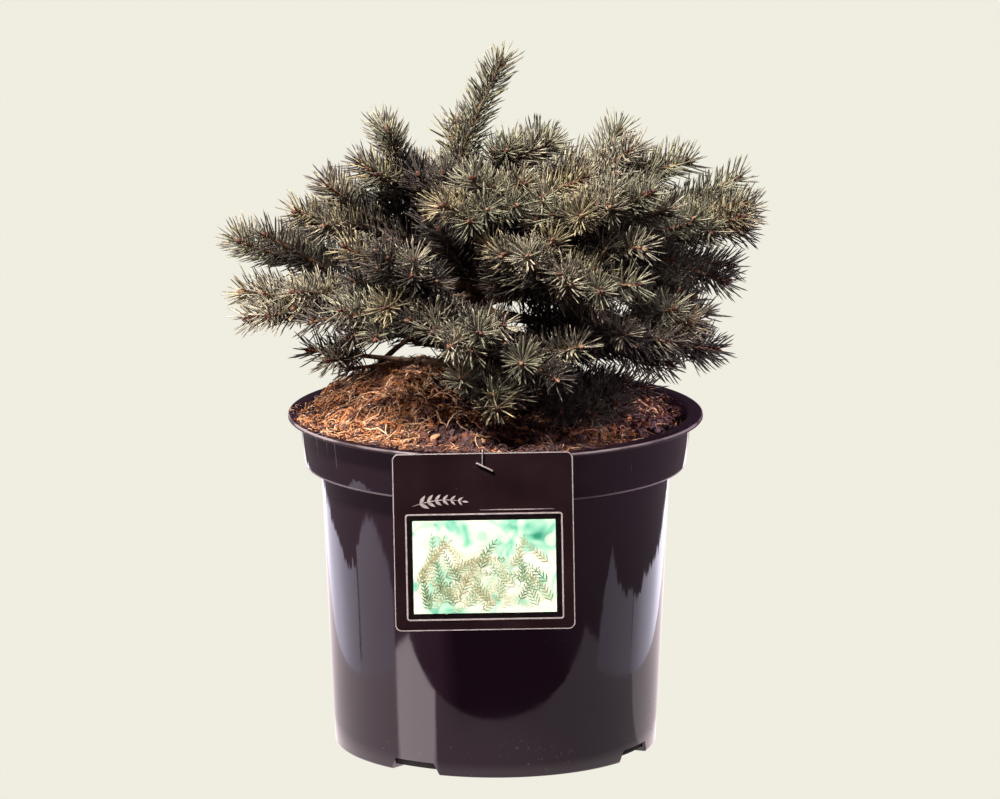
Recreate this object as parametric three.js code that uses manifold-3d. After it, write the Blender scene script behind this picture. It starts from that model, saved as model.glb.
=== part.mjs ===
// A dwarf globe blue spruce in its nursery pot.
//
// The pot is a thin black shell with a deep collar and a flanged lip, filled with coir mulch heaped
// to one side. A short leaning trunk stands in the mulch. Boughs leave it at several heights, and each
// one ends in a mass of needled shoots. A card hangs from the lip on a plastic tie.
// Millimetres, +Z up, origin in the middle of the pot's flat underside, the viewer's side is -Y.
import * as THREE from "three";
import { mergeVertices } from "three/addons/utils/BufferGeometryUtils.js";
import Module from "manifold-3d";

const wasm = await Module();
wasm.setup();

// The gap that stands for contact between two solids.
const GAP = 0.3;
// What a faceted wall may lie inside its true circle.
const FACET_EASE = 0.5;
const UP = new THREE.Vector3(0, 0, 1);

// The pot, a 5 litre container.
const POT_HEIGHT = 187;
const LIP_RADIUS = 115;
const LIP_THICK = 2;
const LIP_EDGE = 0.7;
const COLLAR_TOP_RADIUS = 108.5;
const COLLAR_FOOT_RADIUS = 105.5;
const COLLAR_DEPTH = 29;
const COLLAR_STEP = 3;
const BODY_TOP_RADIUS = 96.8;
const FOOT_RADIUS = 89.3;
const FOOT_BEVEL = 1.5;
const WALL = 1.8;
const FLOOR = 2.4;
const POT_SIDES = 40;

// The drain notches round the foot: a trapezoid, wider at the ground.
const NOTCHES = { count: 4, firstAzimuth: 240, foot: 31, top: 24, height: 6.8, depth: 12 };

// The mulch: its level at the wall, its general crown, the heap on the left and the flat at the trunk.
const MULCH = { wall: -5, crown: 8, heap: 16, heapX: -46, heapY: 16, heapSpread: 42 };
const MULCH_FLAT = { level: 196, radius: 14, blend: 12 };
const MULCH_RINGS = 6;
const MULCH_SIDES = 30;

// The trunk: its lean, its thickness and the flare at its foot.
const TRUNK = { top: 306, leanX: -24, leanY: 4, foot: 8.2, tip: 3.2, flare: 4.5, flareShare: 0.09 };
const TRUNK_SIDES = 10;
const TRUNK_RINGS = 9;

// The middle of the crown, from which each bough's reach is measured to the last needle of its mass.
const HEART = new THREE.Vector3(0, 0, 232);

// One row for each bough: where it leaves the trunk as a share of the trunk's height, its azimuth from
// +X towards +Y, its rise, its reach, and the two leading shoots of its mass: how far each one swings
// from the middle line, and the roll of the plane they swing in, 0 when they lie side by side.
const BOUGHS = [
  { name: "left_far", at: 0.58, azimuth: 188, rise: 12, reach: 155, swing: 12, roll: 80 },
  { name: "left_high", at: 0.7, azimuth: 177, rise: 37, reach: 145, swing: 10, roll: 90 },
  { name: "left_crest", at: 0.88, azimuth: 184, rise: 56, reach: 144, swing: 15, roll: 90 },
  { name: "right_crest", at: 0.86, azimuth: 7, rise: 48, reach: 150, swing: 11, roll: 90 },
  { name: "right_far", at: 0.7, azimuth: 359, rise: 26, reach: 165, swing: 8, roll: 90 },
  { name: "right_low", at: 0.3, azimuth: 3, rise: 3, reach: 134, swing: 13, roll: 80 },
  { name: "right_front", at: 0.42, azimuth: 330, rise: 9, reach: 136, swing: 13, roll: 0 },
  { name: "left_low", at: 0.16, azimuth: 184, rise: -3, reach: 114, swing: 15, roll: 60 },
  { name: "left_front", at: 0.5, azimuth: 229, rise: 21, reach: 127, swing: 13, roll: 80 },
  { name: "front_left", at: 0.36, azimuth: 257, rise: 17, reach: 131, swing: 14, roll: -30 },
  { name: "front_crest", at: 0.94, azimuth: 290, rise: 52, reach: 118, swing: 15, roll: 0 },
  { name: "front_high", at: 0.78, azimuth: 313, rise: 37, reach: 140, swing: 12, roll: 0 },
  { name: "front_mid", at: 0.56, azimuth: 297, rise: 25, reach: 138, swing: 13, roll: 45 },
  { name: "front_low", at: 0.24, azimuth: 289, rise: 6, reach: 131, swing: 15, roll: 15 },
  { name: "front_skirt", at: 0.1, azimuth: 266, rise: -9, reach: 120, swing: 13, roll: 20 },
  { name: "right_skirt", at: 0.14, azimuth: 314, rise: -13, reach: 108, swing: 14, roll: 0 },
  { name: "back_right", at: 0.48, azimuth: 36, rise: 14, reach: 146, swing: 13, roll: 40 },
  { name: "back_mid", at: 0.54, azimuth: 74, rise: 18, reach: 138, swing: 14, roll: 0 },
  { name: "back_left", at: 0.44, azimuth: 112, rise: 14, reach: 138, swing: 14, roll: 20 },
  { name: "back_side", at: 0.5, azimuth: 147, rise: 20, reach: 144, swing: 13, roll: 60 },
  { name: "back_crest", at: 0.8, azimuth: 58, rise: 46, reach: 132, swing: 14, roll: 0 },
  { name: "back_high", at: 0.82, azimuth: 122, rise: 47, reach: 134, swing: 14, roll: 0 },
  { name: "back_skirt", at: 0.16, azimuth: 58, rise: -7, reach: 112, swing: 16, roll: 0 },
  { name: "back_foot", at: 0.2, azimuth: 128, rise: -6, reach: 114, swing: 16, roll: 0 },
  { name: "crown", at: 0.96, azimuth: 20, rise: 79, reach: 122, swing: 12, roll: 0 },
];
const LEADER = { name: "leader", tip: new THREE.Vector3(3, 0, 398), sideLength: 0.42, sideLast: 0.42 };

// The limbs: how much of the way to the tip is bough, how far its line sags, and its thickness.
const FORK_SHARE = 0.34;
const SAG = 0.07;
const BOUGH_RADIUS = 3.4;
const BOUGH_TRUNK_SHARE = 0.6;
const BOUGH_TIP_RADIUS = 2.1;
const BOUGH_SIDES = 6;
const BOUGH_RINGS = 3;

// The shoots of a mass. Side shoots leave their leading shoot at stations along it, to alternate sides.
const STEM_LENGTH = 9;
const STEM_RADIUS = 1.7;
const SHOOT_RADIUS = 1.35;
const SIDE_RADIUS = 1.15;
const SHOOT_TIP_RADIUS = 0.8;
const SIDE_SHOOTS = 5;
const SIDE_FIRST = 0.2;
const SIDE_LAST = 0.76;
const SIDE_ANGLE = 47;
const SIDE_LENGTH = 0.62;
const SHORTEST_SHOOT = 10;
const LEAD_HOLD = 0.2;
const FORK_CLEAR = 14;
const ROOT_CLEAR = 4.5;

// The needles: fewer and larger than life, standing out of each shoot's slim core.
const NEEDLE = 15.5;
const NEEDLE_LEAN = 54;
const NEEDLE_TIP_LEAN = 30;
const NEEDLE_LIFT = 0.18;
const CORE_STEP = 10;
const BARE_LEADING = 0.3;
const TIP_ALLOWANCE = 12;
const CELL_CLEAR = 0.25;
const LIMB_CLEAR = 0.7;
const CORE_CLEAR = 2.3;

// Two triangles cross if an edge of one passes through the other further than a touch from its ends.
const TOUCH = 1e-3;
const FAR_APART = 45;

const MATERIALS = {
  pot: new THREE.MeshStandardMaterial({ color: 0x17131a, roughness: 0.16, metalness: 0 }),
  mulch: new THREE.MeshStandardMaterial({ color: 0x8a5a38, roughness: 0.95, metalness: 0 }),
  bark: new THREE.MeshStandardMaterial({ color: 0x4a382c, roughness: 0.9, metalness: 0 }),
  needles: new THREE.MeshStandardMaterial({ color: 0x66705a, roughness: 0.6, metalness: 0 }),
  card: new THREE.MeshStandardMaterial({ color: 0x1d161b, roughness: 0.35, metalness: 0 }),
  tie: new THREE.MeshStandardMaterial({ color: 0xb9b4b6, roughness: 0.4, metalness: 0 }),
};

const radians = THREE.MathUtils.degToRad;
const mix = THREE.MathUtils.lerp;
const smooth = THREE.MathUtils.smoothstep;

// A seeded stream of numbers from 0 to 1: a linear congruential generator, started by a hash of the seed.
function seeded(seed) {
  let state = Math.imul(seed + 1, 2654435761) >>> 0;
  return () => {
    state = (Math.imul(state, 1664525) + 1013904223) >>> 0;
    return state / 4294967296;
  };
}

// The unit vector at an azimuth and a rise, in degrees.
function polar(azimuth, rise) {
  const a = radians(azimuth);
  const e = radians(rise);
  return new THREE.Vector3(Math.cos(a) * Math.cos(e), Math.sin(a) * Math.cos(e), Math.sin(e));
}

// Two unit vectors square to a direction: the first level where it can be, the second towards up.
function sideAndLift(direction) {
  const reference = Math.abs(direction.z) > 0.92 ? new THREE.Vector3(0, 1, 0) : UP;
  const side = new THREE.Vector3().crossVectors(direction, reference).normalize();
  const lift = new THREE.Vector3().crossVectors(side, direction).normalize();
  return { side, lift };
}

// The solid of a closed geometry, and the geometry of a solid.
function solidOf(geometry) {
  const bare = geometry.clone();
  for (const name of ["normal", "uv"]) bare.deleteAttribute(name);
  const merged = mergeVertices(bare, 1e-4);
  return new wasm.Manifold(
    new wasm.Mesh({
      numProp: 3,
      vertProperties: merged.attributes.position.array,
      triVerts: new Uint32Array(merged.index.array),
    }),
  );
}

function geometryOf(solid) {
  const mesh = solid.getMesh();
  const geometry = new THREE.BufferGeometry();
  geometry.setAttribute("position", new THREE.BufferAttribute(new Float32Array(mesh.vertProperties), 3));
  geometry.setIndex(new THREE.BufferAttribute(new Uint32Array(mesh.triVerts), 1));
  geometry.computeVertexNormals();
  return geometry;
}

const group = new THREE.Group();

function add(name, geometry, material) {
  const mesh = new THREE.Mesh(geometry, material);
  mesh.name = name;
  group.add(mesh);
}

// A closed tube of flat facets with flat ends. Each ring has its middle, its heading and its radius.
function tube(rings, sides) {
  const vertices = [];
  const faces = [];
  for (const { point, heading, radius } of rings) {
    const { side, lift } = sideAndLift(heading);
    for (let k = 0; k < sides; k++) {
      const angle = (2 * Math.PI * k) / sides;
      const outward = side.clone().multiplyScalar(Math.cos(angle)).addScaledVector(lift, Math.sin(angle));
      vertices.push(point.clone().addScaledVector(outward, radius));
    }
  }
  const foot = vertices.length;
  vertices.push(rings[0].point.clone(), rings.at(-1).point.clone());
  const last = (rings.length - 1) * sides;
  for (let k = 0; k < sides; k++) {
    const next = (k + 1) % sides;
    faces.push([foot, k, next], [foot + 1, last + next, last + k]);
    for (let a = k, b = next; a < last; a += sides, b += sides) {
      faces.push([a, b + sides, b], [a, a + sides, b + sides]);
    }
  }
  return meshFrom(vertices, faces);
}

// A solid from vertices and faces, turned to face out where its winding encloses a negative volume.
function meshFrom(vertices, faces) {
  const signed = faces.reduce((sum, [a, b, c]) => {
    const cross = new THREE.Vector3().crossVectors(vertices[b], vertices[c]);
    return sum + vertices[a].dot(cross);
  }, 0);
  const turned = signed < 0 ? faces.map(([a, b, c]) => [a, c, b]) : faces;
  const geometry = new THREE.BufferGeometry();
  geometry.setAttribute(
    "position",
    new THREE.Float32BufferAttribute(
      vertices.flatMap((v) => [v.x, v.y, v.z]),
      3,
    ),
  );
  geometry.setIndex(turned.flat());
  return geometry;
}

// The pot: a turned shell whose collar steps out from the body, under a flange with a rounded edge.
function potSolid() {
  const collarFoot = POT_HEIGHT - COLLAR_DEPTH;
  const lipFoot = POT_HEIGHT - LIP_THICK;
  const profile = [
    [0, 0],
    [FOOT_RADIUS - FOOT_BEVEL, 0],
    [FOOT_RADIUS, FOOT_BEVEL],
    [BODY_TOP_RADIUS, collarFoot],
    [COLLAR_FOOT_RADIUS - 1, collarFoot],
    [COLLAR_FOOT_RADIUS, collarFoot + 1],
    [COLLAR_TOP_RADIUS, lipFoot],
    [LIP_RADIUS - LIP_EDGE, lipFoot],
    [LIP_RADIUS, lipFoot + LIP_EDGE],
    [LIP_RADIUS, POT_HEIGHT - LIP_EDGE],
    [LIP_RADIUS - 2 * LIP_EDGE, POT_HEIGHT],
    [COLLAR_TOP_RADIUS - WALL + LIP_EDGE, POT_HEIGHT],
    [COLLAR_TOP_RADIUS - WALL, POT_HEIGHT - 1],
    [COLLAR_FOOT_RADIUS - WALL, collarFoot + COLLAR_STEP],
    [BODY_TOP_RADIUS - WALL, collarFoot],
    [FOOT_RADIUS - WALL, FLOOR],
    [0, FLOOR],
  ].map(([radius, height]) => new THREE.Vector2(radius, height));
  const shell = new THREE.LatheGeometry(profile, POT_SIDES);
  shell.rotateX(Math.PI / 2);
  let pot = solidOf(shell);
  for (let i = 0; i < NOTCHES.count; i++) {
    pot = pot.subtract(solidOf(notch(NOTCHES.firstAzimuth + (360 * i) / NOTCHES.count)));
  }
  return pot.subtract(tieHole());
}

// One drain notch's cutter: a trapezoid drawn in the wall's plane and pushed inwards.
function notch(azimuth) {
  const outline = new THREE.Shape();
  outline.moveTo(-NOTCHES.foot / 2, -1);
  outline.lineTo(NOTCHES.foot / 2, -1);
  outline.lineTo(NOTCHES.top / 2, NOTCHES.height);
  outline.lineTo(-NOTCHES.top / 2, NOTCHES.height);
  outline.closePath();
  const cutter = new THREE.ExtrudeGeometry(outline, { depth: NOTCHES.depth, bevelEnabled: false });
  cutter.rotateX(Math.PI / 2);
  cutter.translate(0, -(FOOT_RADIUS - NOTCHES.depth + 3), 0);
  cutter.rotateZ(radians(azimuth - 270));
  return cutter;
}

// The height of the mulch above the ground at a place, and the mulch as a solid that fills the pot.
function mulchTop(x, y) {
  const radius = Math.hypot(x, y);
  const share = Math.min(1, radius / (COLLAR_TOP_RADIUS - WALL));
  const fade = 1 - share ** 8;
  const away = (x - MULCH.heapX) ** 2 + (y - MULCH.heapY) ** 2;
  const heap = MULCH.heap * Math.exp(-away / (2 * MULCH.heapSpread ** 2));
  const free = POT_HEIGHT + MULCH.wall + fade * (MULCH.crown * (1 - share ** 3) + heap);
  const flat = smooth(radius, MULCH_FLAT.radius, MULCH_FLAT.radius + MULCH_FLAT.blend);
  return mix(MULCH_FLAT.level, free, flat);
}

function mulchSolid() {
  const inset = WALL + GAP + FACET_EASE;
  const wallRadius = COLLAR_TOP_RADIUS - inset - FACET_EASE;
  const collarFoot = POT_HEIGHT - COLLAR_DEPTH;
  const lower = [
    [COLLAR_FOOT_RADIUS - inset, collarFoot + COLLAR_STEP + FACET_EASE],
    [BODY_TOP_RADIUS - inset, collarFoot + FACET_EASE],
    [FOOT_RADIUS - inset, FLOOR + GAP],
  ];
  const vertices = [new THREE.Vector3(0, 0, mulchTop(0, 0))];
  const faces = [];
  const blended = MULCH_FLAT.radius + MULCH_FLAT.blend;
  const rings = [MULCH_FLAT.radius];
  for (let i = 0; i < MULCH_RINGS; i++) rings.push(mix(blended, wallRadius, i / (MULCH_RINGS - 1)));
  const level = (radius, height) => {
    for (let k = 0; k < MULCH_SIDES; k++) {
      const angle = (2 * Math.PI * k) / MULCH_SIDES;
      const x = radius * Math.cos(angle);
      const y = radius * Math.sin(angle);
      vertices.push(new THREE.Vector3(x, y, height ?? mulchTop(x, y)));
    }
  };
  rings.forEach((radius) => level(radius));
  lower.forEach(([radius, height]) => level(radius, height));
  vertices.push(new THREE.Vector3(0, 0, FLOOR + GAP));
  const count = rings.length + lower.length;
  const last = 1 + (count - 1) * MULCH_SIDES;
  for (let k = 0; k < MULCH_SIDES; k++) {
    const next = (k + 1) % MULCH_SIDES;
    faces.push([0, 1 + k, 1 + next], [vertices.length - 1, last + next, last + k]);
    for (let ring = 0; ring + 1 < count; ring++) {
      const a = 1 + ring * MULCH_SIDES;
      const b = a + MULCH_SIDES;
      faces.push([a + k, b + k, b + next], [a + k, b + next, a + next]);
    }
  }
  return meshFrom(vertices, faces);
}

// The trunk's centre line and thickness at a share of its height, from its flat cut to its tip.
const trunkFoot = MULCH_FLAT.level + GAP;
function trunkAt(share) {
  const x = TRUNK.leanX * share ** 1.3;
  return new THREE.Vector3(x, TRUNK.leanY * share, mix(trunkFoot, TRUNK.top, share));
}
function trunkRadius(share) {
  return mix(TRUNK.foot, TRUNK.tip, share) + TRUNK.flare * Math.exp(-share / TRUNK.flareShare);
}

// The trunk with level rings, so that its foot is a flat cut, made thicker by a margin for cutting.
function trunkSolid(margin) {
  const vertices = [];
  const faces = [];
  for (let ring = 0; ring < TRUNK_RINGS; ring++) {
    const share = (ring / (TRUNK_RINGS - 1)) ** 1.25;
    const centre = trunkAt(share);
    const radius = trunkRadius(share) + margin;
    const stretch = ring === 0 ? -margin : ring === TRUNK_RINGS - 1 ? margin : 0;
    for (let k = 0; k < TRUNK_SIDES; k++) {
      const angle = (2 * Math.PI * k) / TRUNK_SIDES;
      const offset = new THREE.Vector3(radius * Math.cos(angle), radius * Math.sin(angle), stretch);
      vertices.push(centre.clone().add(offset));
    }
  }
  for (let ring = 0; ring + 1 < TRUNK_RINGS; ring++) {
    for (let k = 0; k < TRUNK_SIDES; k++) {
      const a = ring * TRUNK_SIDES + k;
      const b = ring * TRUNK_SIDES + ((k + 1) % TRUNK_SIDES);
      faces.push([a, b, b + TRUNK_SIDES], [a, b + TRUNK_SIDES, a + TRUNK_SIDES]);
    }
  }
  const last = (TRUNK_RINGS - 1) * TRUNK_SIDES;
  for (let k = 1; k + 1 < TRUNK_SIDES; k++) {
    faces.push([0, k + 1, k], [last, last + k, last + k + 1]);
  }
  return meshFrom(vertices, faces);
}

// The line of a bough and of the mass it carries: one curve from the trunk, sagging and then turning up.
function limbCurve(row) {
  const start = trunkAt(row.at);
  const tip = HEART.clone().addScaledVector(polar(row.azimuth, row.rise), row.reach - TIP_ALLOWANCE);
  const chord = new THREE.Vector3().subVectors(tip, start);
  const middle = start.clone().addScaledVector(chord, 0.5).addScaledVector(UP, -SAG * chord.length());
  return new THREE.QuadraticBezierCurve3(start, middle, tip);
}

function boughRadius(row, share) {
  return mix(Math.min(BOUGH_RADIUS, BOUGH_TRUNK_SHARE * trunkRadius(row.at)), BOUGH_TIP_RADIUS, share);
}

function boughLine(row) {
  const curve = limbCurve(row);
  return Array.from({ length: BOUGH_RINGS }, (_, i) => {
    const share = i / (BOUGH_RINGS - 1);
    const along = FORK_SHARE * share;
    const heading = curve.getTangent(along);
    return { point: curve.getPoint(along), heading, radius: boughRadius(row, share) };
  });
}

// The leading shoots and side shoots of a mass, by the seeded rule. Each shoot is a curve with its
// length and the share of it that is bare of needles. A mass starts at its bough's tip, or the trunk's.
function leadingShoot(start, heading, tip) {
  const length = start.distanceTo(tip);
  const turning = new THREE.Vector3().subVectors(tip, start).normalize().lerp(heading, LEAD_HOLD);
  const middle = start.clone().addScaledVector(turning, 0.45 * length);
  const curve = new THREE.QuadraticBezierCurve3(start, middle, tip);
  return { curve, length, bare: BARE_LEADING, radius: SHOOT_RADIUS };
}

function sideShoots(parent, seed, sideLength, sideLast) {
  const random = seeded(seed);
  const shoots = [];
  for (let k = 0; k < SIDE_SHOOTS; k++) {
    const share = mix(SIDE_FIRST, sideLast, k / (SIDE_SHOOTS - 1)) + 0.05 * (random() - 0.5);
    const start = parent.curve.getPoint(share);
    const heading = parent.curve.getTangent(share);
    const { side, lift } = sideAndLift(heading);
    const turn = radians((k % 2 ? 180 : 0) + 70 * (random() - 0.5));
    const outward = side.clone().multiplyScalar(Math.cos(turn)).addScaledVector(lift, Math.sin(turn));
    const angle = radians(SIDE_ANGLE + 14 * (random() - 0.5));
    const length = sideLength * parent.length * (1.12 - 0.6 * share) * (0.88 + 0.24 * random());
    const direction = heading.clone().multiplyScalar(Math.cos(angle));
    direction.addScaledVector(outward, Math.sin(angle));
    const middle = start.clone().addScaledVector(direction, 0.5 * length);
    const tip = start.clone().addScaledVector(direction, 0.85 * length);
    tip.addScaledVector(heading, 0.25 * length);
    const curve = new THREE.QuadraticBezierCurve3(start, middle, tip);
    shoots.push({ curve, length, bare: 0, radius: SIDE_RADIUS, share, outward });
  }
  return shoots;
}

function planMass(index) {
  if (index === BOUGHS.length) {
    const start = trunkAt(1).addScaledVector(UP, GAP);
    const tip = LEADER.tip.clone().addScaledVector(UP, -TIP_ALLOWANCE);
    return withSides(LEADER, index, start, UP, [tip]);
  }
  const row = BOUGHS[index];
  const curve = limbCurve(row);
  const heading = curve.getTangent(FORK_SHARE);
  const start = curve.getPoint(FORK_SHARE).addScaledVector(heading, GAP);
  const onward = new THREE.Vector3().subVectors(curve.getPoint(1), start);
  const { side, lift } = sideAndLift(onward.clone().normalize());
  const roll = radians(row.roll);
  const across = side.multiplyScalar(Math.cos(roll)).addScaledVector(lift, Math.sin(roll));
  const tips = [-1, 1].map((sign) => {
    const swing = radians(sign * row.swing);
    const tip = start.clone().addScaledVector(onward, Math.cos(swing));
    return tip.addScaledVector(across, Math.sin(swing) * onward.length());
  });
  return withSides(row, index, start, heading, tips);
}

function withSides(row, index, start, heading, tips) {
  const leading = tips.map((tip, j) => {
    const fork = start.clone().addScaledVector(heading, STEM_LENGTH / (j + 1));
    return leadingShoot(fork, heading, tip);
  });
  const sideLength = row.sideLength ?? SIDE_LENGTH;
  const sideLast = row.sideLast ?? SIDE_LAST;
  const sides = leading.map((lead, j) => sideShoots(lead, index * 10 + j, sideLength, sideLast));
  return { name: row.name, start, heading, leading, sides };
}

// Each mass keeps to its own space: the points nearer to its middle than to any other mass's middle,
// above the mulch and the lip, and clear of every limb.
const masses = Array.from({ length: BOUGHS.length + 1 }, (_, index) => planMass(index));
const middles = masses.map((mass) => {
  const sum = new THREE.Vector3();
  mass.leading.forEach((lead) => sum.add(lead.curve.getPoint(0.5)));
  return sum.divideScalar(mass.leading.length);
});
const limbs = BOUGHS.map((row) => boughLine(row));
limbs.push(
  Array.from({ length: TRUNK_RINGS }, (_, i) => {
    const share = i / (TRUNK_RINGS - 1);
    return { point: trunkAt(share), radius: trunkRadius(share) };
  }),
);

function inCell(point, index) {
  return middles.every((other, j) => {
    if (j === index) return true;
    const away = new THREE.Vector3().subVectors(other, middles[index]);
    const half = away.length() / 2;
    const along = new THREE.Vector3().subVectors(point, middles[index]).dot(away) / (2 * half);
    return along < half - CELL_CLEAR;
  });
}

function abovePot(point, clear) {
  const radius = Math.hypot(point.x, point.y);
  const lip = radius > COLLAR_TOP_RADIUS - 2 * WALL ? POT_HEIGHT : 0;
  return point.z > Math.max(lip, mulchTop(point.x, point.y)) + clear;
}

function clearOfLimbs(point, clear) {
  const segment = new THREE.Line3();
  const nearest = new THREE.Vector3();
  return limbs.every((limb) =>
    limb.slice(1).every((end, i) => {
      segment.set(limb[i].point, end.point);
      const share = segment.closestPointToPointParameter(point, true);
      segment.at(share, nearest);
      return nearest.distanceTo(point) > mix(limb[i].radius, end.radius, share) + clear;
    }),
  );
}

function free(point, index, clear) {
  return inCell(point, index) && abovePot(point, clear) && clearOfLimbs(point, clear);
}

// Whether the edges of one lot of triangles pass through the other lot. Touching corners don't count.
function pierces(triangles, others) {
  const ray = new THREE.Ray();
  const hit = new THREE.Vector3();
  return triangles.some((corners) =>
    corners.some((from, k) => {
      const to = corners[(k + 1) % 3];
      const length = from.distanceTo(to);
      ray.set(from, new THREE.Vector3().subVectors(to, from).normalize());
      return others.some(([a, b, c]) => {
        if (a.distanceTo(from) > FAR_APART || !ray.intersectTriangle(a, b, c, false, hit)) return false;
        const reach = hit.distanceTo(from);
        return reach > TOUCH && reach < length - TOUCH;
      });
    }),
  );
}

function crosses(triangles, others) {
  return pierces(triangles, others) || pierces(others, triangles);
}

// A mass's skin grows face by face, so that it is closed from the start. It holds its corners, and its
// faces with the shoot that each one is on, its place along it, and whether it closes the shoot's tip.
function addCorner(skin, point) {
  skin.corners.push(point);
  return skin.corners.length - 1;
}

function middleOf(skin, face) {
  const sum = new THREE.Vector3();
  face.forEach((corner) => sum.add(skin.corners[corner]));
  return sum.divideScalar(3);
}

function trianglesOf(skin, faces) {
  return faces.map(({ face }) => face.map((corner) => skin.corners[corner]));
}

// The way a face looks, square to its shoot.
function outwardOf(skin, { face, shoot, share }) {
  const outward = middleOf(skin, face).sub(shoot.curve.getPoint(share));
  const heading = shoot.curve.getTangent(share);
  return outward.addScaledVector(heading, -outward.dot(heading)).normalize();
}

// The six faces from one ring of a three-sided core to the next, which is turned by a sixth of a turn.
function ringFaces(skin, ring, shoot, share) {
  const heading = shoot.curve.getTangent(share);
  const centre = shoot.curve.getPoint(share);
  const middle = middleOf(skin, ring);
  const radius = mix(shoot.radius, SHOOT_TIP_RADIUS, share);
  const next = ring.map((corner, k) => {
    const edge = skin.corners[corner].clone().lerp(skin.corners[ring[(k + 1) % 3]], 0.5).sub(middle);
    edge.addScaledVector(heading, -edge.dot(heading)).normalize();
    return addCorner(skin, centre.clone().addScaledVector(edge, radius));
  });
  const faces = ring.flatMap((corner, k) => {
    const far = (k + 1) % 3;
    const pair = [
      [corner, ring[far], next[k]],
      [ring[far], next[far], next[k]],
    ];
    return pair.map((face) => ({ face, shoot, share, closing: false }));
  });
  return { faces, next };
}

// A whole shoot that sprouts from a face: its rings, the first one a given way out, and its tip.
function shootFaces(skin, base, shoot, first) {
  const steps = Math.max(1, Math.round((shoot.length - first) / CORE_STEP));
  const faces = [];
  let ring = base;
  for (let i = 0; i < steps; i++) {
    const grown = ringFaces(skin, ring, shoot, mix(first, shoot.length, i / steps) / shoot.length);
    faces.push(...grown.faces);
    ring = grown.next;
  }
  const tip = addCorner(skin, shoot.curve.getPoint(1));
  ring.forEach((corner, k) => {
    faces.push({ face: [corner, ring[(k + 1) % 3], tip], shoot, share: 1, closing: true });
  });
  return faces;
}

// The three best placed faces of a shoot for another one to sprout from.
function sproutSites(skin, parent, share, outward) {
  const place = parent.curve.getPoint(share);
  const fitness = (site) =>
    outwardOf(skin, site).dot(outward) - middleOf(skin, site.face).distanceTo(place) / CORE_STEP;
  const sites = skin.faces.filter((site) => site.shoot === parent && !site.closing);
  return sites.sort((a, b) => fitness(b) - fitness(a)).slice(0, 3);
}

// Grows a shoot from the first of those faces where its core crosses nothing, or leaves it out.
function sprout(skin, sites, shoot, first) {
  for (const site of sites) {
    const kept = skin.faces.filter((other) => other !== site);
    const before = skin.corners.length;
    const faces = shootFaces(skin, site.face, shoot, first);
    if (!crosses(trianglesOf(skin, faces), trianglesOf(skin, kept))) {
      skin.faces = [...kept, ...faces];
      return;
    }
    skin.corners.length = before;
  }
}

// A side shoot cut back until its whole core has room, or nothing where too little is left.
function fitted(shoot, index) {
  const start = shoot.curve.getPoint(0);
  for (let keep = 1; keep * shoot.length > SHORTEST_SHOOT; keep -= 0.08) {
    const room = [0.35, 0.55, 0.75, 0.9, 1].every((share) =>
      free(shoot.curve.getPoint(share * keep), index, CORE_CLEAR),
    );
    if (room) {
      const middle = shoot.curve.getPoint(0.5 * keep);
      const curve = new THREE.CatmullRomCurve3([start, middle, shoot.curve.getPoint(keep)]);
      return { ...shoot, curve, length: shoot.length * keep };
    }
  }
  return null;
}

// Draws a needle out of a face, where it has room and crosses nothing: three faces in place of one.
function drawNeedle(skin, site, index, random) {
  const heading = site.shoot.curve.getTangent(site.share);
  const lean = radians(site.closing ? NEEDLE_TIP_LEAN : NEEDLE_LEAN);
  const direction = outwardOf(skin, site).multiplyScalar(Math.sin(lean));
  direction.addScaledVector(heading, Math.cos(lean)).addScaledVector(UP, NEEDLE_LIFT).normalize();
  const root = middleOf(skin, site.face);
  const length = NEEDLE * (0.86 + 0.24 * random());
  const apex = root.clone().addScaledVector(direction, length);
  const waist = root.clone().addScaledVector(direction, length / 2);
  if (!free(apex, index, LIMB_CLEAR) || !free(waist, index, 2 * LIMB_CLEAR)) return;
  const tip = addCorner(skin, apex);
  const faces = site.face.map((corner, k) => ({ ...site, face: [corner, site.face[(k + 1) % 3], tip] }));
  const kept = skin.faces.filter((other) => other !== site);
  if (crosses(trianglesOf(skin, faces), trianglesOf(skin, kept))) skin.corners.length = tip;
  else skin.faces = [...kept, ...faces];
}

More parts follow.
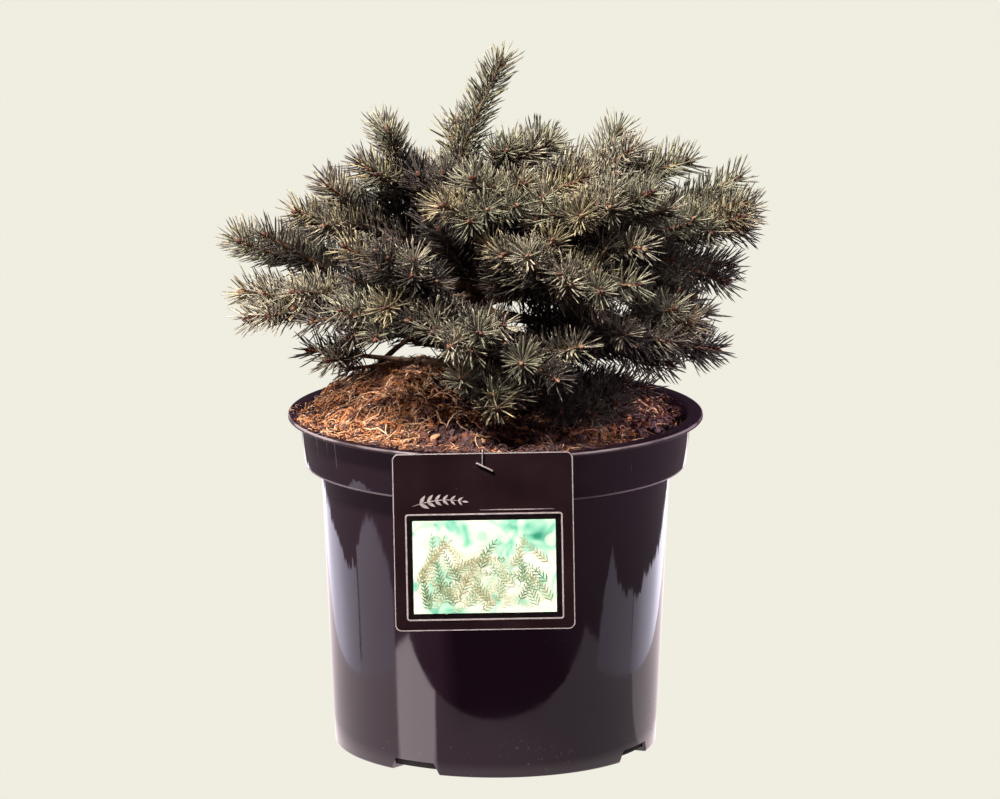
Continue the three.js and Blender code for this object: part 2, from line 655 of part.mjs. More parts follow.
// The whole mass: its stem from a flat foot, the first leading shoot from the stem's end, the second
// from the stem's side, their side shoots, and then a needle on each face that can take one.
function massGeometry(mass, index) {
  const { start, heading, leading, sides } = mass;
  const skin = { corners: [], faces: [] };
  const { side, lift } = sideAndLift(heading);
  const foot = [90, -30, -150].map((degrees) => {
    const corner = start.clone().addScaledVector(side, STEM_RADIUS * Math.cos(radians(degrees)));
    return addCorner(skin, corner.addScaledVector(lift, STEM_RADIUS * Math.sin(radians(degrees))));
  });
  const stemEnd = start.clone().addScaledVector(heading, STEM_LENGTH);
  const stem = { curve: new THREE.LineCurve3(start, stemEnd), radius: STEM_RADIUS, bare: Infinity };
  const grown = ringFaces(skin, foot, stem, 1);
  const footFace = { face: [foot[0], foot[2], foot[1]], shoot: stem, share: 0, closing: true };
  skin.faces = [footFace, ...grown.faces, ...shootFaces(skin, grown.next, leading[0], CORE_STEP)];
  leading.slice(1).forEach((shoot) => {
    const away = new THREE.Vector3().subVectors(shoot.curve.getPoint(1), leading[0].curve.getPoint(1));
    sprout(skin, sproutSites(skin, stem, 0.5, away.normalize()), shoot, FORK_CLEAR);
  });
  sides.forEach((shoots, j) => {
    for (const shoot of shoots) {
      const room = fitted(shoot, index);
      const sites = sproutSites(skin, leading[j], shoot.share, shoot.outward);
      if (room) sprout(skin, sites, room, ROOT_CLEAR);
    }
  });
  const random = seeded(index * 100);
  for (const site of skin.faces.filter(({ shoot, share }) => share >= shoot.bare)) {
    drawNeedle(skin, site, index, random);
  }
  return meshFrom(
    skin.corners,
    skin.faces.map(({ face }) => face),
  );
}

// The hanging card: a rounded square that hangs by its top from the lip, turned a little in its plane.
const CARD = { width: 98, height: 98.8, thick: 0.8, corner: 3.6, x: -7, top: 189, turn: -1 };
const CARD_HOLE = { drop: 6.7, radius: 1.4 };
const cardBack = -(LIP_RADIUS + GAP);
const tieHeight = CARD.top - CARD_HOLE.drop;

function roundedRectangle(width, height, corner) {
  const shape = new THREE.Shape();
  const x = width / 2;
  const y = height / 2;
  shape.moveTo(-x + corner, -y);
  shape.lineTo(x - corner, -y);
  shape.absarc(x - corner, -y + corner, corner, -Math.PI / 2, 0);
  shape.lineTo(x, y - corner);
  shape.absarc(x - corner, y - corner, corner, 0, Math.PI / 2);
  shape.lineTo(-x + corner, y);
  shape.absarc(-x + corner, y - corner, corner, Math.PI / 2, Math.PI);
  shape.lineTo(-x, -y + corner);
  shape.absarc(-x + corner, -y + corner, corner, Math.PI, 1.5 * Math.PI);
  return shape;
}

function cardGeometry() {
  const shape = roundedRectangle(CARD.width, CARD.height, CARD.corner);
  const hole = new THREE.Path();
  hole.absarc(0, CARD.height / 2 - CARD_HOLE.drop, CARD_HOLE.radius, 0, 2 * Math.PI, true);
  shape.holes.push(hole);
  const options = { depth: CARD.thick, bevelEnabled: false, curveSegments: 3 };
  const card = new THREE.ExtrudeGeometry(shape, options);
  card.translate(0, CARD_HOLE.drop - CARD.height / 2, 0);
  card.rotateX(Math.PI / 2);
  card.rotateY(radians(CARD.turn));
  card.translate(CARD.x, cardBack, tieHeight);
  return card;
}

// The tie: a ball under the lip, a thread up through the lip, over the card and down its face, a short
// pin into the card's hole, and a bar across the front.
const TIE = { thread: 0.5, ball: 1.2, bar: 0.7, barLength: 10.4, barTurn: 26, lipHole: 1.2, inset: 3.4 };
const TIE_OVERLAP = 0.35;
const BAR_DROP = 0.6;
const BAR_SHIFT = 1.25;
const tieY = -(LIP_RADIUS - TIE.inset);
const ROD_SIDES = 8;

function tieHole() {
  const hole = new THREE.CylinderGeometry(TIE.lipHole, TIE.lipHole, 3 * LIP_THICK, 10);
  hole.rotateX(Math.PI / 2);
  hole.translate(CARD.x, tieY, POT_HEIGHT - LIP_THICK / 2);
  return solidOf(hole);
}

function rod(from, to, radius) {
  const heading = new THREE.Vector3().subVectors(to, from).normalize();
  const ends = [from, to].map((point) => ({ point, heading, radius }));
  return solidOf(tube(ends, ROD_SIDES));
}

function tieSolid() {
  const front = cardBack - CARD.thick - GAP - TIE.bar;
  const over = CARD.top + 2 * GAP + TIE.thread;
  const at = (y, z) => new THREE.Vector3(CARD.x, y, z);
  const ballHeight = POT_HEIGHT - LIP_THICK - GAP - TIE.ball;
  const ball = new THREE.SphereGeometry(TIE.ball, 8, 6);
  ball.translate(CARD.x, tieY, ballHeight);
  const half = TIE.barLength / 2;
  const lean = radians(TIE.barTurn);
  const along = new THREE.Vector3(Math.cos(lean), 0, -Math.sin(lean));
  const barMiddle = at(front, tieHeight - BAR_DROP).addScaledVector(along, BAR_SHIFT);
  const bar = [-half, half].map((offset) => barMiddle.clone().addScaledVector(along, offset));
  return wasm.Manifold.union([
    solidOf(ball),
    rod(at(tieY, ballHeight), at(tieY, over + TIE_OVERLAP), TIE.thread),
    rod(at(tieY + TIE_OVERLAP, over), at(front - TIE_OVERLAP, over), TIE.thread),
    rod(at(front, over + TIE_OVERLAP), at(front, tieHeight - BAR_DROP), TIE.thread),
    rod(at(front, tieHeight), at(cardBack, tieHeight), TIE.thread),
    rod(bar[0], bar[1], TIE.bar),
  ]);
}

add("pot", geometryOf(potSolid()), MATERIALS.pot);
add("potting_mulch", mulchSolid(), MATERIALS.mulch);
add("trunk", trunkSolid(0), MATERIALS.bark);
const trunkCutter = solidOf(trunkSolid(GAP));
BOUGHS.forEach((row, i) => {
  const limb = solidOf(tube(limbs[i], BOUGH_SIDES)).subtract(trunkCutter);
  add("bough_" + row.name, geometryOf(limb), MATERIALS.bark);
});
masses.forEach((mass, index) => {
  add("shoots_" + mass.name, massGeometry(mass, index), MATERIALS.needles);
});
add("label_card", cardGeometry(), MATERIALS.card);
add("label_tie", geometryOf(tieSolid()), MATERIALS.tie);

export default group;
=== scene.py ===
# A dwarf globe blue spruce in its nursery pot, on a pale studio table.
#
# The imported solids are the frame: fine pieces made here stand for them, each one in the place of its
# solid. Shapes are worked out in millimetres and put into the meshes in metres. +Z is up, and the
# viewer's side is -Y.
import bpy
import numpy as np
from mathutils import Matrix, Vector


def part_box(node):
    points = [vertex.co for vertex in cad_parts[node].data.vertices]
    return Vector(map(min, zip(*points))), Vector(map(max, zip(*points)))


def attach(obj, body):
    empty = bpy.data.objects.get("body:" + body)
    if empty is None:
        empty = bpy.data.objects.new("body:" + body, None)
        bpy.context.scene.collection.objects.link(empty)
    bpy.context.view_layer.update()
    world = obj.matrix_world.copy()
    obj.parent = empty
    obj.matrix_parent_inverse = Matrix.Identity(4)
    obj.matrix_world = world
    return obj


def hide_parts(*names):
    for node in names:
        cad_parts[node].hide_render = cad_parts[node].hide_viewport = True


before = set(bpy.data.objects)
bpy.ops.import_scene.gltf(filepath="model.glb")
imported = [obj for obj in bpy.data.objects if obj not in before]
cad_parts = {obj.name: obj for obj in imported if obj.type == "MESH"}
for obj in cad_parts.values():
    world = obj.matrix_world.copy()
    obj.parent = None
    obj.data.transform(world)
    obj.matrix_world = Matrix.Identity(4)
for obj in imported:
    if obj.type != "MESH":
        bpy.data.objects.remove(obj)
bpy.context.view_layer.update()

# The pot.
# A 5 litre container of black plastic, moulded as one thin shell: a slightly conical body, a deep
# collar that steps out from it, a flanged lip, and four drain notches where the wall meets the floor.
MM = 0.001
POT_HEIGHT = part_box("pot")[1].z / MM
LIP_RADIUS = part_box("pot")[1].x / MM
LIP_THICK = 2.0
COLLAR_TOP_RADIUS = 108.5
COLLAR_FOOT_RADIUS = 105.5
COLLAR_DEPTH = 29.0
COLLAR_STEP = 3.0
BODY_TOP_RADIUS = 96.8
FOOT_RADIUS = 89.3
WALL = 1.8
FLOOR = 2.4
NOTCH_COUNT = 4
NOTCH_AZIMUTH = 240.0
NOTCH_FOOT = 31.0
NOTCH_TOP = 24.0
NOTCH_HEIGHT = 6.8
NOTCH_DEPTH = 12.0
NOTCH_COLUMNS = 8
QUARTER_COLUMNS = 72
FILLET_STEPS = 4
WALL_WAVE = 0.16
# The long scratches: the azimuth in degrees, and how far below the rim each one ends.
LONG_SCRATCHES = ((-155.5, 17), (-149, 14), (-144.5, 20))
SCRATCH_FADE = 9.0
SCRATCH_EDGES = (0.005, 0.003)
# The short scratches: how far the noise is stretched, its values at their edges, and how far below the
# rim they end.
SCRATCH_STRETCH = (60, 1, 22)
SCRATCH_PEAKS = (0.735, 0.765)
SCRATCHED_TO = (18.0, 12.0)
SOIL_UP_TO = (26.0, 6.0)
POT_SHARP = 0.7
POT_BLACK = (0.0125, 0.0062, 0.0108, 1)
POT_VEIL = (0.0072, 0.0028, 0.0058, 1)
POT_SCUFF = (0.15, 0.13, 0.145, 1)
# The colour of the painted highlights along the lip's upper edge and the collar's lower one.
POT_EDGE_HIGHLIGHT = (0.21, 0.173, 0.19, 1)


def mix(low, high, share):
    """The value that lies at a share of the way from low to high."""
    return low + (high - low) * share


def smoothstep(value, low, high):
    """0 below low, 1 above high, and 3t^2 - 2t^3 between them, where t is the share of the way."""
    share = np.clip((value - low) / (high - low), 0, 1)
    return share * share * (3 - 2 * share)


def unit(vectors):
    """Each vector divided by its length."""
    return vectors / np.linalg.norm(vectors, axis=-1, keepdims=True)


def stack(*parts):
    """Arrays side by side on a new last axis, such as x, y and z, or the corners of faces.

    A single number among them is repeated to the size of the others.
    """
    return np.stack(np.broadcast_arrays(*parts), axis=-1)


def neighbours(count):
    """The numbers of the points round a closed ring, and for each one the number of the next."""
    numbers = np.arange(count)
    return numbers, (numbers + 1) % count


def noise(points, size, seed):
    """Smooth random values from -1 to 1.

    The corners of a cubic lattice, size apart, hold random numbers worked out from their whole-number
    places. A point takes the mean of the eight round it, each weighted by a smoothstep of how near it is.
    """
    place = np.asarray(points, float) / size
    cell = np.floor(place).astype(np.int64)
    share = place - cell
    share = share * share * (3 - 2 * share)
    total = np.zeros(place.shape[:-1])
    for corner in np.ndindex(2, 2, 2):
        key = (cell + corner) @ np.array([73856093, 19349663, 83492791]) + seed * 7919
        key = (key * 2654435761) & 0xFFFFFFFF
        key = ((key ^ (key >> 15)) * 2246822519) & 0xFFFFFFFF
        value = (key ^ (key >> 13)) / 2.0**31 - 1
        total += value * np.prod(np.where(corner, share, 1 - share), axis=-1)
    return total


def piece(name, points, faces, materials, dealt=None, smooth=True, sharp=None):
    """A mesh object from points in millimetres and lots of faces with the same number of corners.

    dealt gives the number of the material that each face takes. sharp is the angle in radians past
    which an edge isn't shaded smooth.
    """
    lots = [np.asarray(lot) for lot in faces]
    corners = np.concatenate([lot.ravel() for lot in lots])
    sizes = np.concatenate([np.full(len(lot), lot.shape[1]) for lot in lots])
    mesh = bpy.data.meshes.new(name)
    mesh.vertices.add(len(points))
    mesh.vertices.foreach_set("co", (np.asarray(points, float) * MM).astype(np.float32).ravel())
    mesh.loops.add(len(corners))
    mesh.loops.foreach_set("vertex_index", corners.astype(np.int32))
    mesh.polygons.add(len(sizes))
    mesh.polygons.foreach_set("loop_start", (np.cumsum(sizes) - sizes).astype(np.int32))
    if dealt is not None:
        mesh.polygons.foreach_set("material_index", np.asarray(dealt).astype(np.int32))
    mesh.update(calc_edges=True)
    mesh.polygons.foreach_set("use_smooth", np.full(len(sizes), smooth))
    if sharp is not None:
        mesh.set_sharp_from_angle(angle=sharp)
    for material in materials:
        mesh.materials.append(material)
    made = bpy.data.objects.new(name, mesh)
    bpy.context.scene.collection.objects.link(made)
    return made


def rounded(corners, radii):
    """A profile through the corners, each one cut short by its radius on both sides.

    A cut corner is bridged by the quadratic curve whose handle is the corner itself. A radius of zero
    keeps the corner as one point.
    """
    corners = np.asarray(corners, float)
    path = []
    for i, radius in enumerate(radii):
        if not radius:
            path.append(corners[i : i + 1])
            continue
        entry = corners[i] + radius * unit(corners[i - 1] - corners[i])
        leave = corners[i] + radius * unit(corners[i + 1] - corners[i])
        t = np.linspace(0, 1, FILLET_STEPS + 1)[:, None]
        path.append((1 - t) ** 2 * entry + 2 * t * (1 - t) * corners[i] + t**2 * leave)
    return np.concatenate(path)


def grid_faces(rows, columns):
    """Quads between neighbours on a grid of points whose last column meets its first."""
    row, column = np.meshgrid(np.arange(rows - 1), np.arange(columns), indexing="ij")
    onward = (column + 1) % columns
    near, far = row * columns, (row + 1) * columns
    return stack(near + column, near + onward, far + onward, far + column).reshape(-1, 4)


def node(tree, kind, inputs=(), **settings):
    """Adds a shader node. An input given as a socket is linked, and any other is set."""
    made = tree.nodes.new(kind)
    for key, value in settings.items():
        setattr(made, key, value)
    for key, value in dict(inputs).items():
        if isinstance(value, bpy.types.NodeSocket):
            tree.links.new(value, made.inputs[key])
        else:
            made.inputs[key].default_value = value
    return made


def maths(tree, operation, *values, clamped=False):
    """The result of a sum on numbers or sockets, held between 0 and 1 where it is clamped."""
    inputs = dict(enumerate(values))
    return node(tree, "ShaderNodeMath", inputs, operation=operation, use_clamp=clamped).outputs[0]


def scaled(tree, value, low, high, to_low=0.0, to_high=1.0):
    """A value's place between two limits, as a share from 0 to 1 or between two other numbers."""
    inputs = {"Value": value, "From Min": low, "From Max": high, "To Min": to_low, "To Max": to_high}
    return node(tree, "ShaderNodeMapRange", inputs).outputs[0]


def clouds(tree, vector, scale, detail, roughness=0.5, distortion=0.0):
    """A soft noise over the coordinates, as a share from 0 to 1."""
    inputs = {"Vector": vector, "Scale": scale, "Detail": detail}
    inputs |= {"Roughness": roughness, "Distortion": distortion}
    return node(tree, "ShaderNodeTexNoise", inputs).outputs["Fac"]


def ramp(tree, value, stops):
    """The colours of the stops, by value, each stop a place and a colour."""
    made = node(tree, "ShaderNodeValToRGB", {"Fac": value})
    for i, (place, colour) in enumerate(stops):
        element = made.color_ramp.elements[i] if i < 2 else made.color_ramp.elements.new(place)
        element.position = place
        element.color = colour
    return made.outputs["Color"]


def mixed(tree, share, first, second):
    """A blend of two colours or colour sockets by a share."""
    return node(tree, "ShaderNodeMix", {0: share, 6: first, 7: second}, data_type="RGBA").outputs[2]


def finish_of(name, **plain):
    """A new material, its node tree and its Principled shader, with plain values on its sockets."""
    material = bpy.data.materials.new(name)
    material.use_nodes = True
    shader = material.node_tree.nodes["Principled BSDF"]
    for key, value in plain.items():
        shader.inputs[key.replace("_", " ").title().replace("Ior", "IOR")].default_value = value
    return material, material.node_tree, shader


def painted(tree, shader, colour):
    """Gives a shader its colour from a socket."""
    tree.links.new(colour, shader.inputs["Base Color"])


def bumped(tree, shader, height, distance, strength=1.0):
    """Gives a shader relief from a height socket, distance metres deep."""
    made = node(tree, "ShaderNodeBump", {"Height": height, "Strength": strength, "Distance": distance})
    tree.links.new(made.outputs["Normal"], shader.inputs["Normal"])


def object_coordinates(tree):
    """The Object coordinates, in metres."""
    return tree.nodes.new("ShaderNodeTexCoord").outputs["Object"]


def flecks_group():
    """A shader group: a mask of sparse flecks, where a fine noise passes a limit that a broad noise moves.

    Its inputs are the coordinates, the flecks' scale, the patches' scale and the limit.
    """
    patchiness, sharpness = 0.35, 14.0
    group = bpy.data.node_groups.new("flecks", "ShaderNodeTree")
    group.interface.new_socket("Vector", in_out="INPUT", socket_type="NodeSocketVector")
    for name, value in (("Fleck Scale", 400.0), ("Patch Scale", 20.0), ("Limit", 0.7)):
        socket = group.interface.new_socket(name, in_out="INPUT", socket_type="NodeSocketFloat")
        socket.default_value = value
    group.interface.new_socket("Mask", in_out="OUTPUT", socket_type="NodeSocketFloat")
    entry = group.nodes.new("NodeGroupInput").outputs
    leave = group.nodes.new("NodeGroupOutput")
    fine = clouds(group, entry["Vector"], scale=entry["Fleck Scale"], detail=2.0)
    broad = clouds(group, entry["Vector"], scale=entry["Patch Scale"], detail=1.0)
    both = maths(group, "ADD", fine, maths(group, "MULTIPLY", broad, patchiness))
    past = maths(group, "SUBTRACT", both, entry["Limit"])
    group.links.new(maths(group, "MULTIPLY", past, sharpness, clamped=True), leave.inputs["Mask"])
    return group


FLECKS = flecks_group()


def flecks(tree, vector, fleck_scale, patch_scale, limit):
    """The mask of the flecks group, placed in a material with its own values."""
    inputs = {"Vector": vector, "Fleck Scale": fleck_scale, "Patch Scale": patch_scale, "Limit": limit}
    return node(tree, "ShaderNodeGroup", inputs, node_tree=FLECKS).outputs["Mask"]


def pot_profile():
    """The section of the shell from the middle of its underside, round the lip, to the middle of its floor.

    Returns the points as radius and height, and the four rows that bound a drain notch: on the
    underside, on the outer wall, on the inner wall and on the floor.
    """
    collar_foot = POT_HEIGHT - COLLAR_DEPTH
    lip_foot = POT_HEIGHT - LIP_THICK

    def wall_radius(height):
        return mix(FOOT_RADIUS, BODY_TOP_RADIUS, height / collar_foot)

    outer_body = [(wall_radius(z), z) for z in np.linspace(NOTCH_HEIGHT, collar_foot - 3, 26)]
    inner_body = [(r - WALL, z) for r, z in reversed(outer_body)]
    foot = rounded([(FOOT_RADIUS - NOTCH_DEPTH, 0), (FOOT_RADIUS, 0), outer_body[0]], (0, 1.5, 0))
    lip = rounded(
        [
            outer_body[-1],
            (BODY_TOP_RADIUS, collar_foot),
            (COLLAR_FOOT_RADIUS, collar_foot),
            (mix(COLLAR_FOOT_RADIUS, COLLAR_TOP_RADIUS, 0.5), mix(collar_foot, lip_foot, 0.5)),
            (COLLAR_TOP_RADIUS, lip_foot),
            (LIP_RADIUS, lip_foot - 0.5),
            (LIP_RADIUS, POT_HEIGHT - 0.5),
            (LIP_RADIUS - 3, POT_HEIGHT),
            (COLLAR_TOP_RADIUS - WALL, POT_HEIGHT),
            (COLLAR_FOOT_RADIUS - WALL, collar_foot + COLLAR_STEP),
            (BODY_TOP_RADIUS - WALL, collar_foot),
            inner_body[0],
        ],
        (0, 0.8, 1.3, 0, 1.1, 0.3, 1.1, 0.8, 1.3, 1.0, 1.0, 0),
    )
    floor_edge = [inner_body[-1], (FOOT_RADIUS - WALL, FLOOR), (FOOT_RADIUS - NOTCH_DEPTH, FLOOR)]
    hollow = rounded(floor_edge, (0, 1.5, 0))
    parts = [foot, outer_body[1:-1], lip, inner_body[1:-1], hollow]
    ends = np.cumsum([len(part) for part in parts])
    marks = (0, ends[0] - 1, ends[3], ends[4] - 1)
    return np.concatenate(parts), marks


def pot_shell():
    """The pot's points and faces.

    The section is turned about the vertical axis. Each quarter's columns are crowded so that two of
    them run along the slanted sides of its drain notch, and the faces between those columns and the
    notch's rows are left out, with walls across the shell's thickness in their place. The body swells
    and dips by a slow noise, as a thin moulding does.
    """
    profile, (under, outside, inside, floor) = pot_profile()
    columns = NOTCH_COUNT * QUARTER_COLUMNS
    column, onward = neighbours(columns)
    local = (column % QUARTER_COLUMNS) - QUARTER_COLUMNS // 2
    radius, height = profile[:, :1], profile[:, 1:]
    quarter = np.pi / NOTCH_COUNT
    width = mix(NOTCH_FOOT, NOTCH_TOP, np.clip(height / NOTCH_HEIGHT, 0, 1))
    half = width / 2 / FOOT_RADIUS
    inner = local / NOTCH_COLUMNS * half
    beyond = (np.abs(local) - NOTCH_COLUMNS) / (QUARTER_COLUMNS // 2 - NOTCH_COLUMNS)
    outer = np.sign(local) * mix(half, quarter, beyond)
    turn = np.where(np.abs(local) <= NOTCH_COLUMNS, inner, outer)
    azimuth = turn + np.radians(NOTCH_AZIMUTH) + (column // QUARTER_COLUMNS) * 2 * quarter
    around = stack(np.cos(azimuth), np.sin(azimuth), 0)
    place = around * FOOT_RADIUS + height[..., None] * np.array([0, 0, 1.0])
    body = smoothstep(height, NOTCH_HEIGHT, 30) * (1 - smoothstep(height, 130, POT_HEIGHT - COLLAR_DEPTH))
    swell = WALL_WAVE * body * noise(place, 46, 3)
    points = around * (radius + swell)[..., None] + height[..., None] * np.array([0, 0, 1.0])
    points = points.reshape(-1, 3)

    faces = grid_faces(len(profile), columns).reshape(len(profile) - 1, columns, 4)
    row = np.arange(len(profile) - 1)[:, None]
    in_rows = ((row >= under) & (row < outside)) | ((row >= inside) & (row < floor))
    in_notch = (local >= -NOTCH_COLUMNS) & (local < NOTCH_COLUMNS)
    skin = faces[~(in_rows & in_notch)]

    def across(first, second):
        """Quads from one row to another over the notches' columns."""
        start, end = column[in_notch], onward[in_notch]
        near, far = first * columns, second * columns
        return stack(near + start, near + end, far + end, far + start)

    cheeks = []
    count = outside - under
    for side, turned in ((-NOTCH_COLUMNS, False), (NOTCH_COLUMNS, True)):
        for edge in column[local == side]:
            low = (under + np.arange(count)) * columns + edge
            high = (floor - np.arange(count)) * columns + edge
            wall = stack(low, high, high - columns, low + columns)
            cheeks.append(wall[:, ::-1] if turned else wall)
    points = np.vstack([points, [[0, 0, 0], [0, 0, FLOOR]]])
    middle = len(points) - 2
    last = (len(profile) - 1) * columns
    caps = np.concatenate([stack(middle, onward, column), stack(middle + 1, last + column, last + onward)])
    quads = np.concatenate([skin, across(outside, inside), across(floor, under), *cheeks])
    return points, [quads, caps]


def scratches(tree, turn, height):
    """A mask of the collar's scratches, from the azimuth and the height.

    The short ones are the peaks of a noise that is stretched upwards. A long one is a thin upright line
    at its azimuth, which fades out towards its lower end.
    """
    lengthwise = node(tree, "ShaderNodeCombineXYZ", {"X": turn, "Z": height}).outputs[0]
    stretched = node(tree, "ShaderNodeMapping", {"Vector": lengthwise, "Scale": SCRATCH_STRETCH}).outputs[0]
    thin = scaled(tree, clouds(tree, stretched, scale=1.0, detail=1.0), *SCRATCH_PEAKS)
    collar = scaled(tree, height, *((POT_HEIGHT - depth) * MM for depth in SCRATCHED_TO))
    mask = maths(tree, "MULTIPLY", thin, collar)
    for degrees, depth in LONG_SCRATCHES:
        aside = maths(tree, "ABSOLUTE", maths(tree, "ADD", turn, np.radians(-degrees)))
        end = (POT_HEIGHT - depth) * MM
        above = scaled(tree, height, end, end + SCRATCH_FADE * MM)
        line = maths(tree, "MULTIPLY", scaled(tree, aside, *SCRATCH_EDGES), above)
        mask = maths(tree, "MAXIMUM", mask, line)
    return mask


def painted_edge_highlights(tree, place, height):
    """A mask of two painted highlight lines, along the lip's upper edge and the collar's lower one, broken by
    noise.

    Each is a narrow band of heights times a narrow band of distances from the pot's middle.
    """
    out = node(tree, "ShaderNodeVectorMath", {0: place, 1: (1, 1, 0)}, operation="MULTIPLY").outputs[0]
    out = node(tree, "ShaderNodeVectorMath", {0: out}, operation="LENGTH").outputs["Value"]
    edge = scaled(tree, out, (LIP_RADIUS - 1.0) * MM, (LIP_RADIUS - 0.4) * MM)
    upper = scaled(tree, height, (POT_HEIGHT - 1.9) * MM, (POT_HEIGHT - 1.2) * MM)
    line_height = (POT_HEIGHT - COLLAR_DEPTH + 0.7) * MM
    beside = maths(tree, "ABSOLUTE", maths(tree, "SUBTRACT", height, line_height))
    lower = scaled(tree, beside, 0.0009, 0.0003)
    outermost = scaled(tree, out, (COLLAR_FOOT_RADIUS - 1.2) * MM, (COLLAR_FOOT_RADIUS - 0.6) * MM)
    lip, collar = maths(tree, "MULTIPLY", edge, upper), maths(tree, "MULTIPLY", lower, outermost)
    patchy = scaled(tree, clouds(tree, place, scale=55.0, detail=4.0), 0.35, 0.55, 0.3)
    return maths(tree, "MULTIPLY", maths(tree, "MAXIMUM", lip, collar), patchy)


def pot_finish():
    """Gloss black plastic with a plum cast and faint smears.

    Flecks of soil at the foot, specks and scratches are paler and rougher, and so are the painted
    highlights along the lip's upper edge and the collar's lower one. A dim glow stands for the veil
    of stray light over the black.
    """
    material, tree, shader = finish_of("pot_gloss", specular_ior_level=0.52, emission_strength=1.0)
    shader.inputs["Emission Color"].default_value = POT_VEIL
    place = object_coordinates(tree)
    parts = node(tree, "ShaderNodeSeparateXYZ", {"Vector": place}).outputs
    turn = maths(tree, "ARCTAN2", parts["Y"], parts["X"])
    foot = scaled(tree, parts["Z"], *(height * MM for height in SOIL_UP_TO))
    soil = maths(tree, "MULTIPLY", flecks(tree, place, fleck_scale=420.0, patch_scale=30.0, limit=0.87), foot)
    specks = flecks(tree, place, fleck_scale=330.0, patch_scale=14.0, limit=0.955)
    marks = maths(tree, "MAXIMUM", soil, specks)
    marks = maths(tree, "MAXIMUM", marks, scratches(tree, turn, parts["Z"]))
    # Painted highlights: pale, rougher lines along the lip's upper edge and the collar's lower one.
    edge_highlight = painted_edge_highlights(tree, place, parts["Z"])
    base = mixed(tree, maths(tree, "MULTIPLY", marks, 0.8), POT_BLACK, POT_SCUFF)
    painted(tree, shader, mixed(tree, edge_highlight, base, POT_EDGE_HIGHLIGHT))
    gloss = scaled(tree, clouds(tree, place, scale=26.0, detail=4.0), 0.4, 0.75, 0.045, 0.11)
    rough = maths(tree, "MULTIPLY_ADD", maths(tree, "MAXIMUM", marks, edge_highlight), 0.5, gloss)
    tree.links.new(rough, shader.inputs["Roughness"])
    bumped(tree, shader, clouds(tree, place, scale=70.0, detail=2.0), distance=0.00012, strength=0.35)
    return material


points, faces = pot_shell()
pot = piece("pot_shell", points, faces, [pot_finish()], sharp=POT_SHARP)
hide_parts("pot")
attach(pot, "root")

# The mulch.
# Coir and dark soil fill the pot. The coir is heaped to the left, under the crown's lifted edge, as a
# mat of orange and tan fibres with crumbs between them, and dark soil shows on the right.
MULCH_WALL = -5.0
MULCH_CROWN = 8.0
MULCH_INSET = 0.9
MULCH_RADIUS = COLLAR_TOP_RADIUS - WALL - MULCH_INSET
MULCH_FLOOR = FLOOR + 0.4
MULCH_COLUMNS = 300
MULCH_RINGS = 96
MULCH_SINK = 0.9
HEAP = 18.0
HEAP_PLACE = np.array([-50.0, 14.0])
HEAP_SPREAD = 44.0
FLAT_LEVEL = 196.0
FLAT_RADIUS = 14.0
FLAT_BLEND = 12.0
CLOD = np.array([-37.0, -58.0])
CLOD_HEIGHT = 5.5
CLOD_AREA = 46.0
CLOD_BARE = 8.5
# The lumps in the mulch's surface, from coarse to fine: their height, their size and their seed.
LUMPS = ((2.2, 13, 10), (1.8, 7, 11), (1.2, 3.4, 12), (0.5, 1.5, 13))
# The loose mulch: how many strands of each kind, where they lie as azimuths in degrees and distances
# from the middle, and their least and greatest lengths.
FIBRES = 6600
FIBRE_LENGTHS = (4, 32)
LONG_FIBRES = 48
LONG_TURNS = (150, 300)
LONG_PLACES = 96
LONG_LENGTHS = (22, 48)
SPILLED = 900
SPILL_TURNS = (-182, -62)
SPILL_FRONT = -95
SPILL_BAND = (100, 113.4)
SPILL_RADIUS = 113.6
SPILL_LENGTHS = (3, 13)
CRUMBS = 3600
CRUMB_SIZES = (0.7, 3.4)
FIBRE_POINTS = 7
FIBRE_TAPER = np.array([0.0, 0.8, 1, 1, 1, 0.75, 0.0])
LONG_TAPER = np.array([0.0, 0.85, 1, 1, 0.9, 0.7, 0.0])
CRUMB_SHAPE = np.array([0, 0.62, 0.85, 0.6, 0])


def mulch_top(x, y):
    """The mulch's height at a place.

    It lies a little under the lip at the wall and rises to a low crown, and a heap is added as a
    normal curve round its place. Round the trunk it levels off to a flat.
    """
    radius = np.hypot(x, y)
    share = np.minimum(1, radius / (COLLAR_TOP_RADIUS - WALL))
    fade = 1 - share**8
    away = (x - HEAP_PLACE[0]) ** 2 + (y - HEAP_PLACE[1]) ** 2
    heap = HEAP * np.exp(-away / (2 * HEAP_SPREAD**2))
    free = POT_HEIGHT + MULCH_WALL + fade * (MULCH_CROWN * (1 - share**3) + heap)
    return mix(FLAT_LEVEL, free, smoothstep(radius, FLAT_RADIUS, FLAT_RADIUS + FLAT_BLEND))


def coir_share(x, y):
    """How much of the surface is coir at a place: 1 on the left, less to the right, and less at the front,
    where the darker mulch is painted shade.

    Noise breaks it into patches, and it is bare in one patch at the front left.
    """
    bare = smoothstep(x, -50, -32) * smoothstep(-x, -2, 14) * smoothstep(-y, 36, 60)
    # Painted shade: less coir, so darker mulch, towards the front edge.
    front = 0.32 * smoothstep(-y, 60, 88)
    patches = 0.5 * noise(stack(x, y, 0), 17, 5)
    return np.clip(np.clip(0.4 - x / 70, 0.16, 1) + patches - bare - front, 0.05, 1)


def mulch_ground(x, y):
    """The mulch's lumpy surface: its smooth height, lowered a little, with four sizes of noise added.

    The noise dies away at the pot's wall. A clod stands at the front left, as a flat-topped normal curve.
    """
    flat = stack(x, y, 0)
    lumps = sum(height * noise(flat, size, seed) for height, size, seed in LUMPS)
    clod = CLOD_HEIGHT * np.exp(-(((flat[..., :2] - CLOD) ** 2).sum(axis=-1) / CLOD_AREA) ** 2)
    return mulch_top(x, y) - MULCH_SINK + lumps * smoothstep(MULCH_RADIUS - np.hypot(x, y), 0, 7) + clod


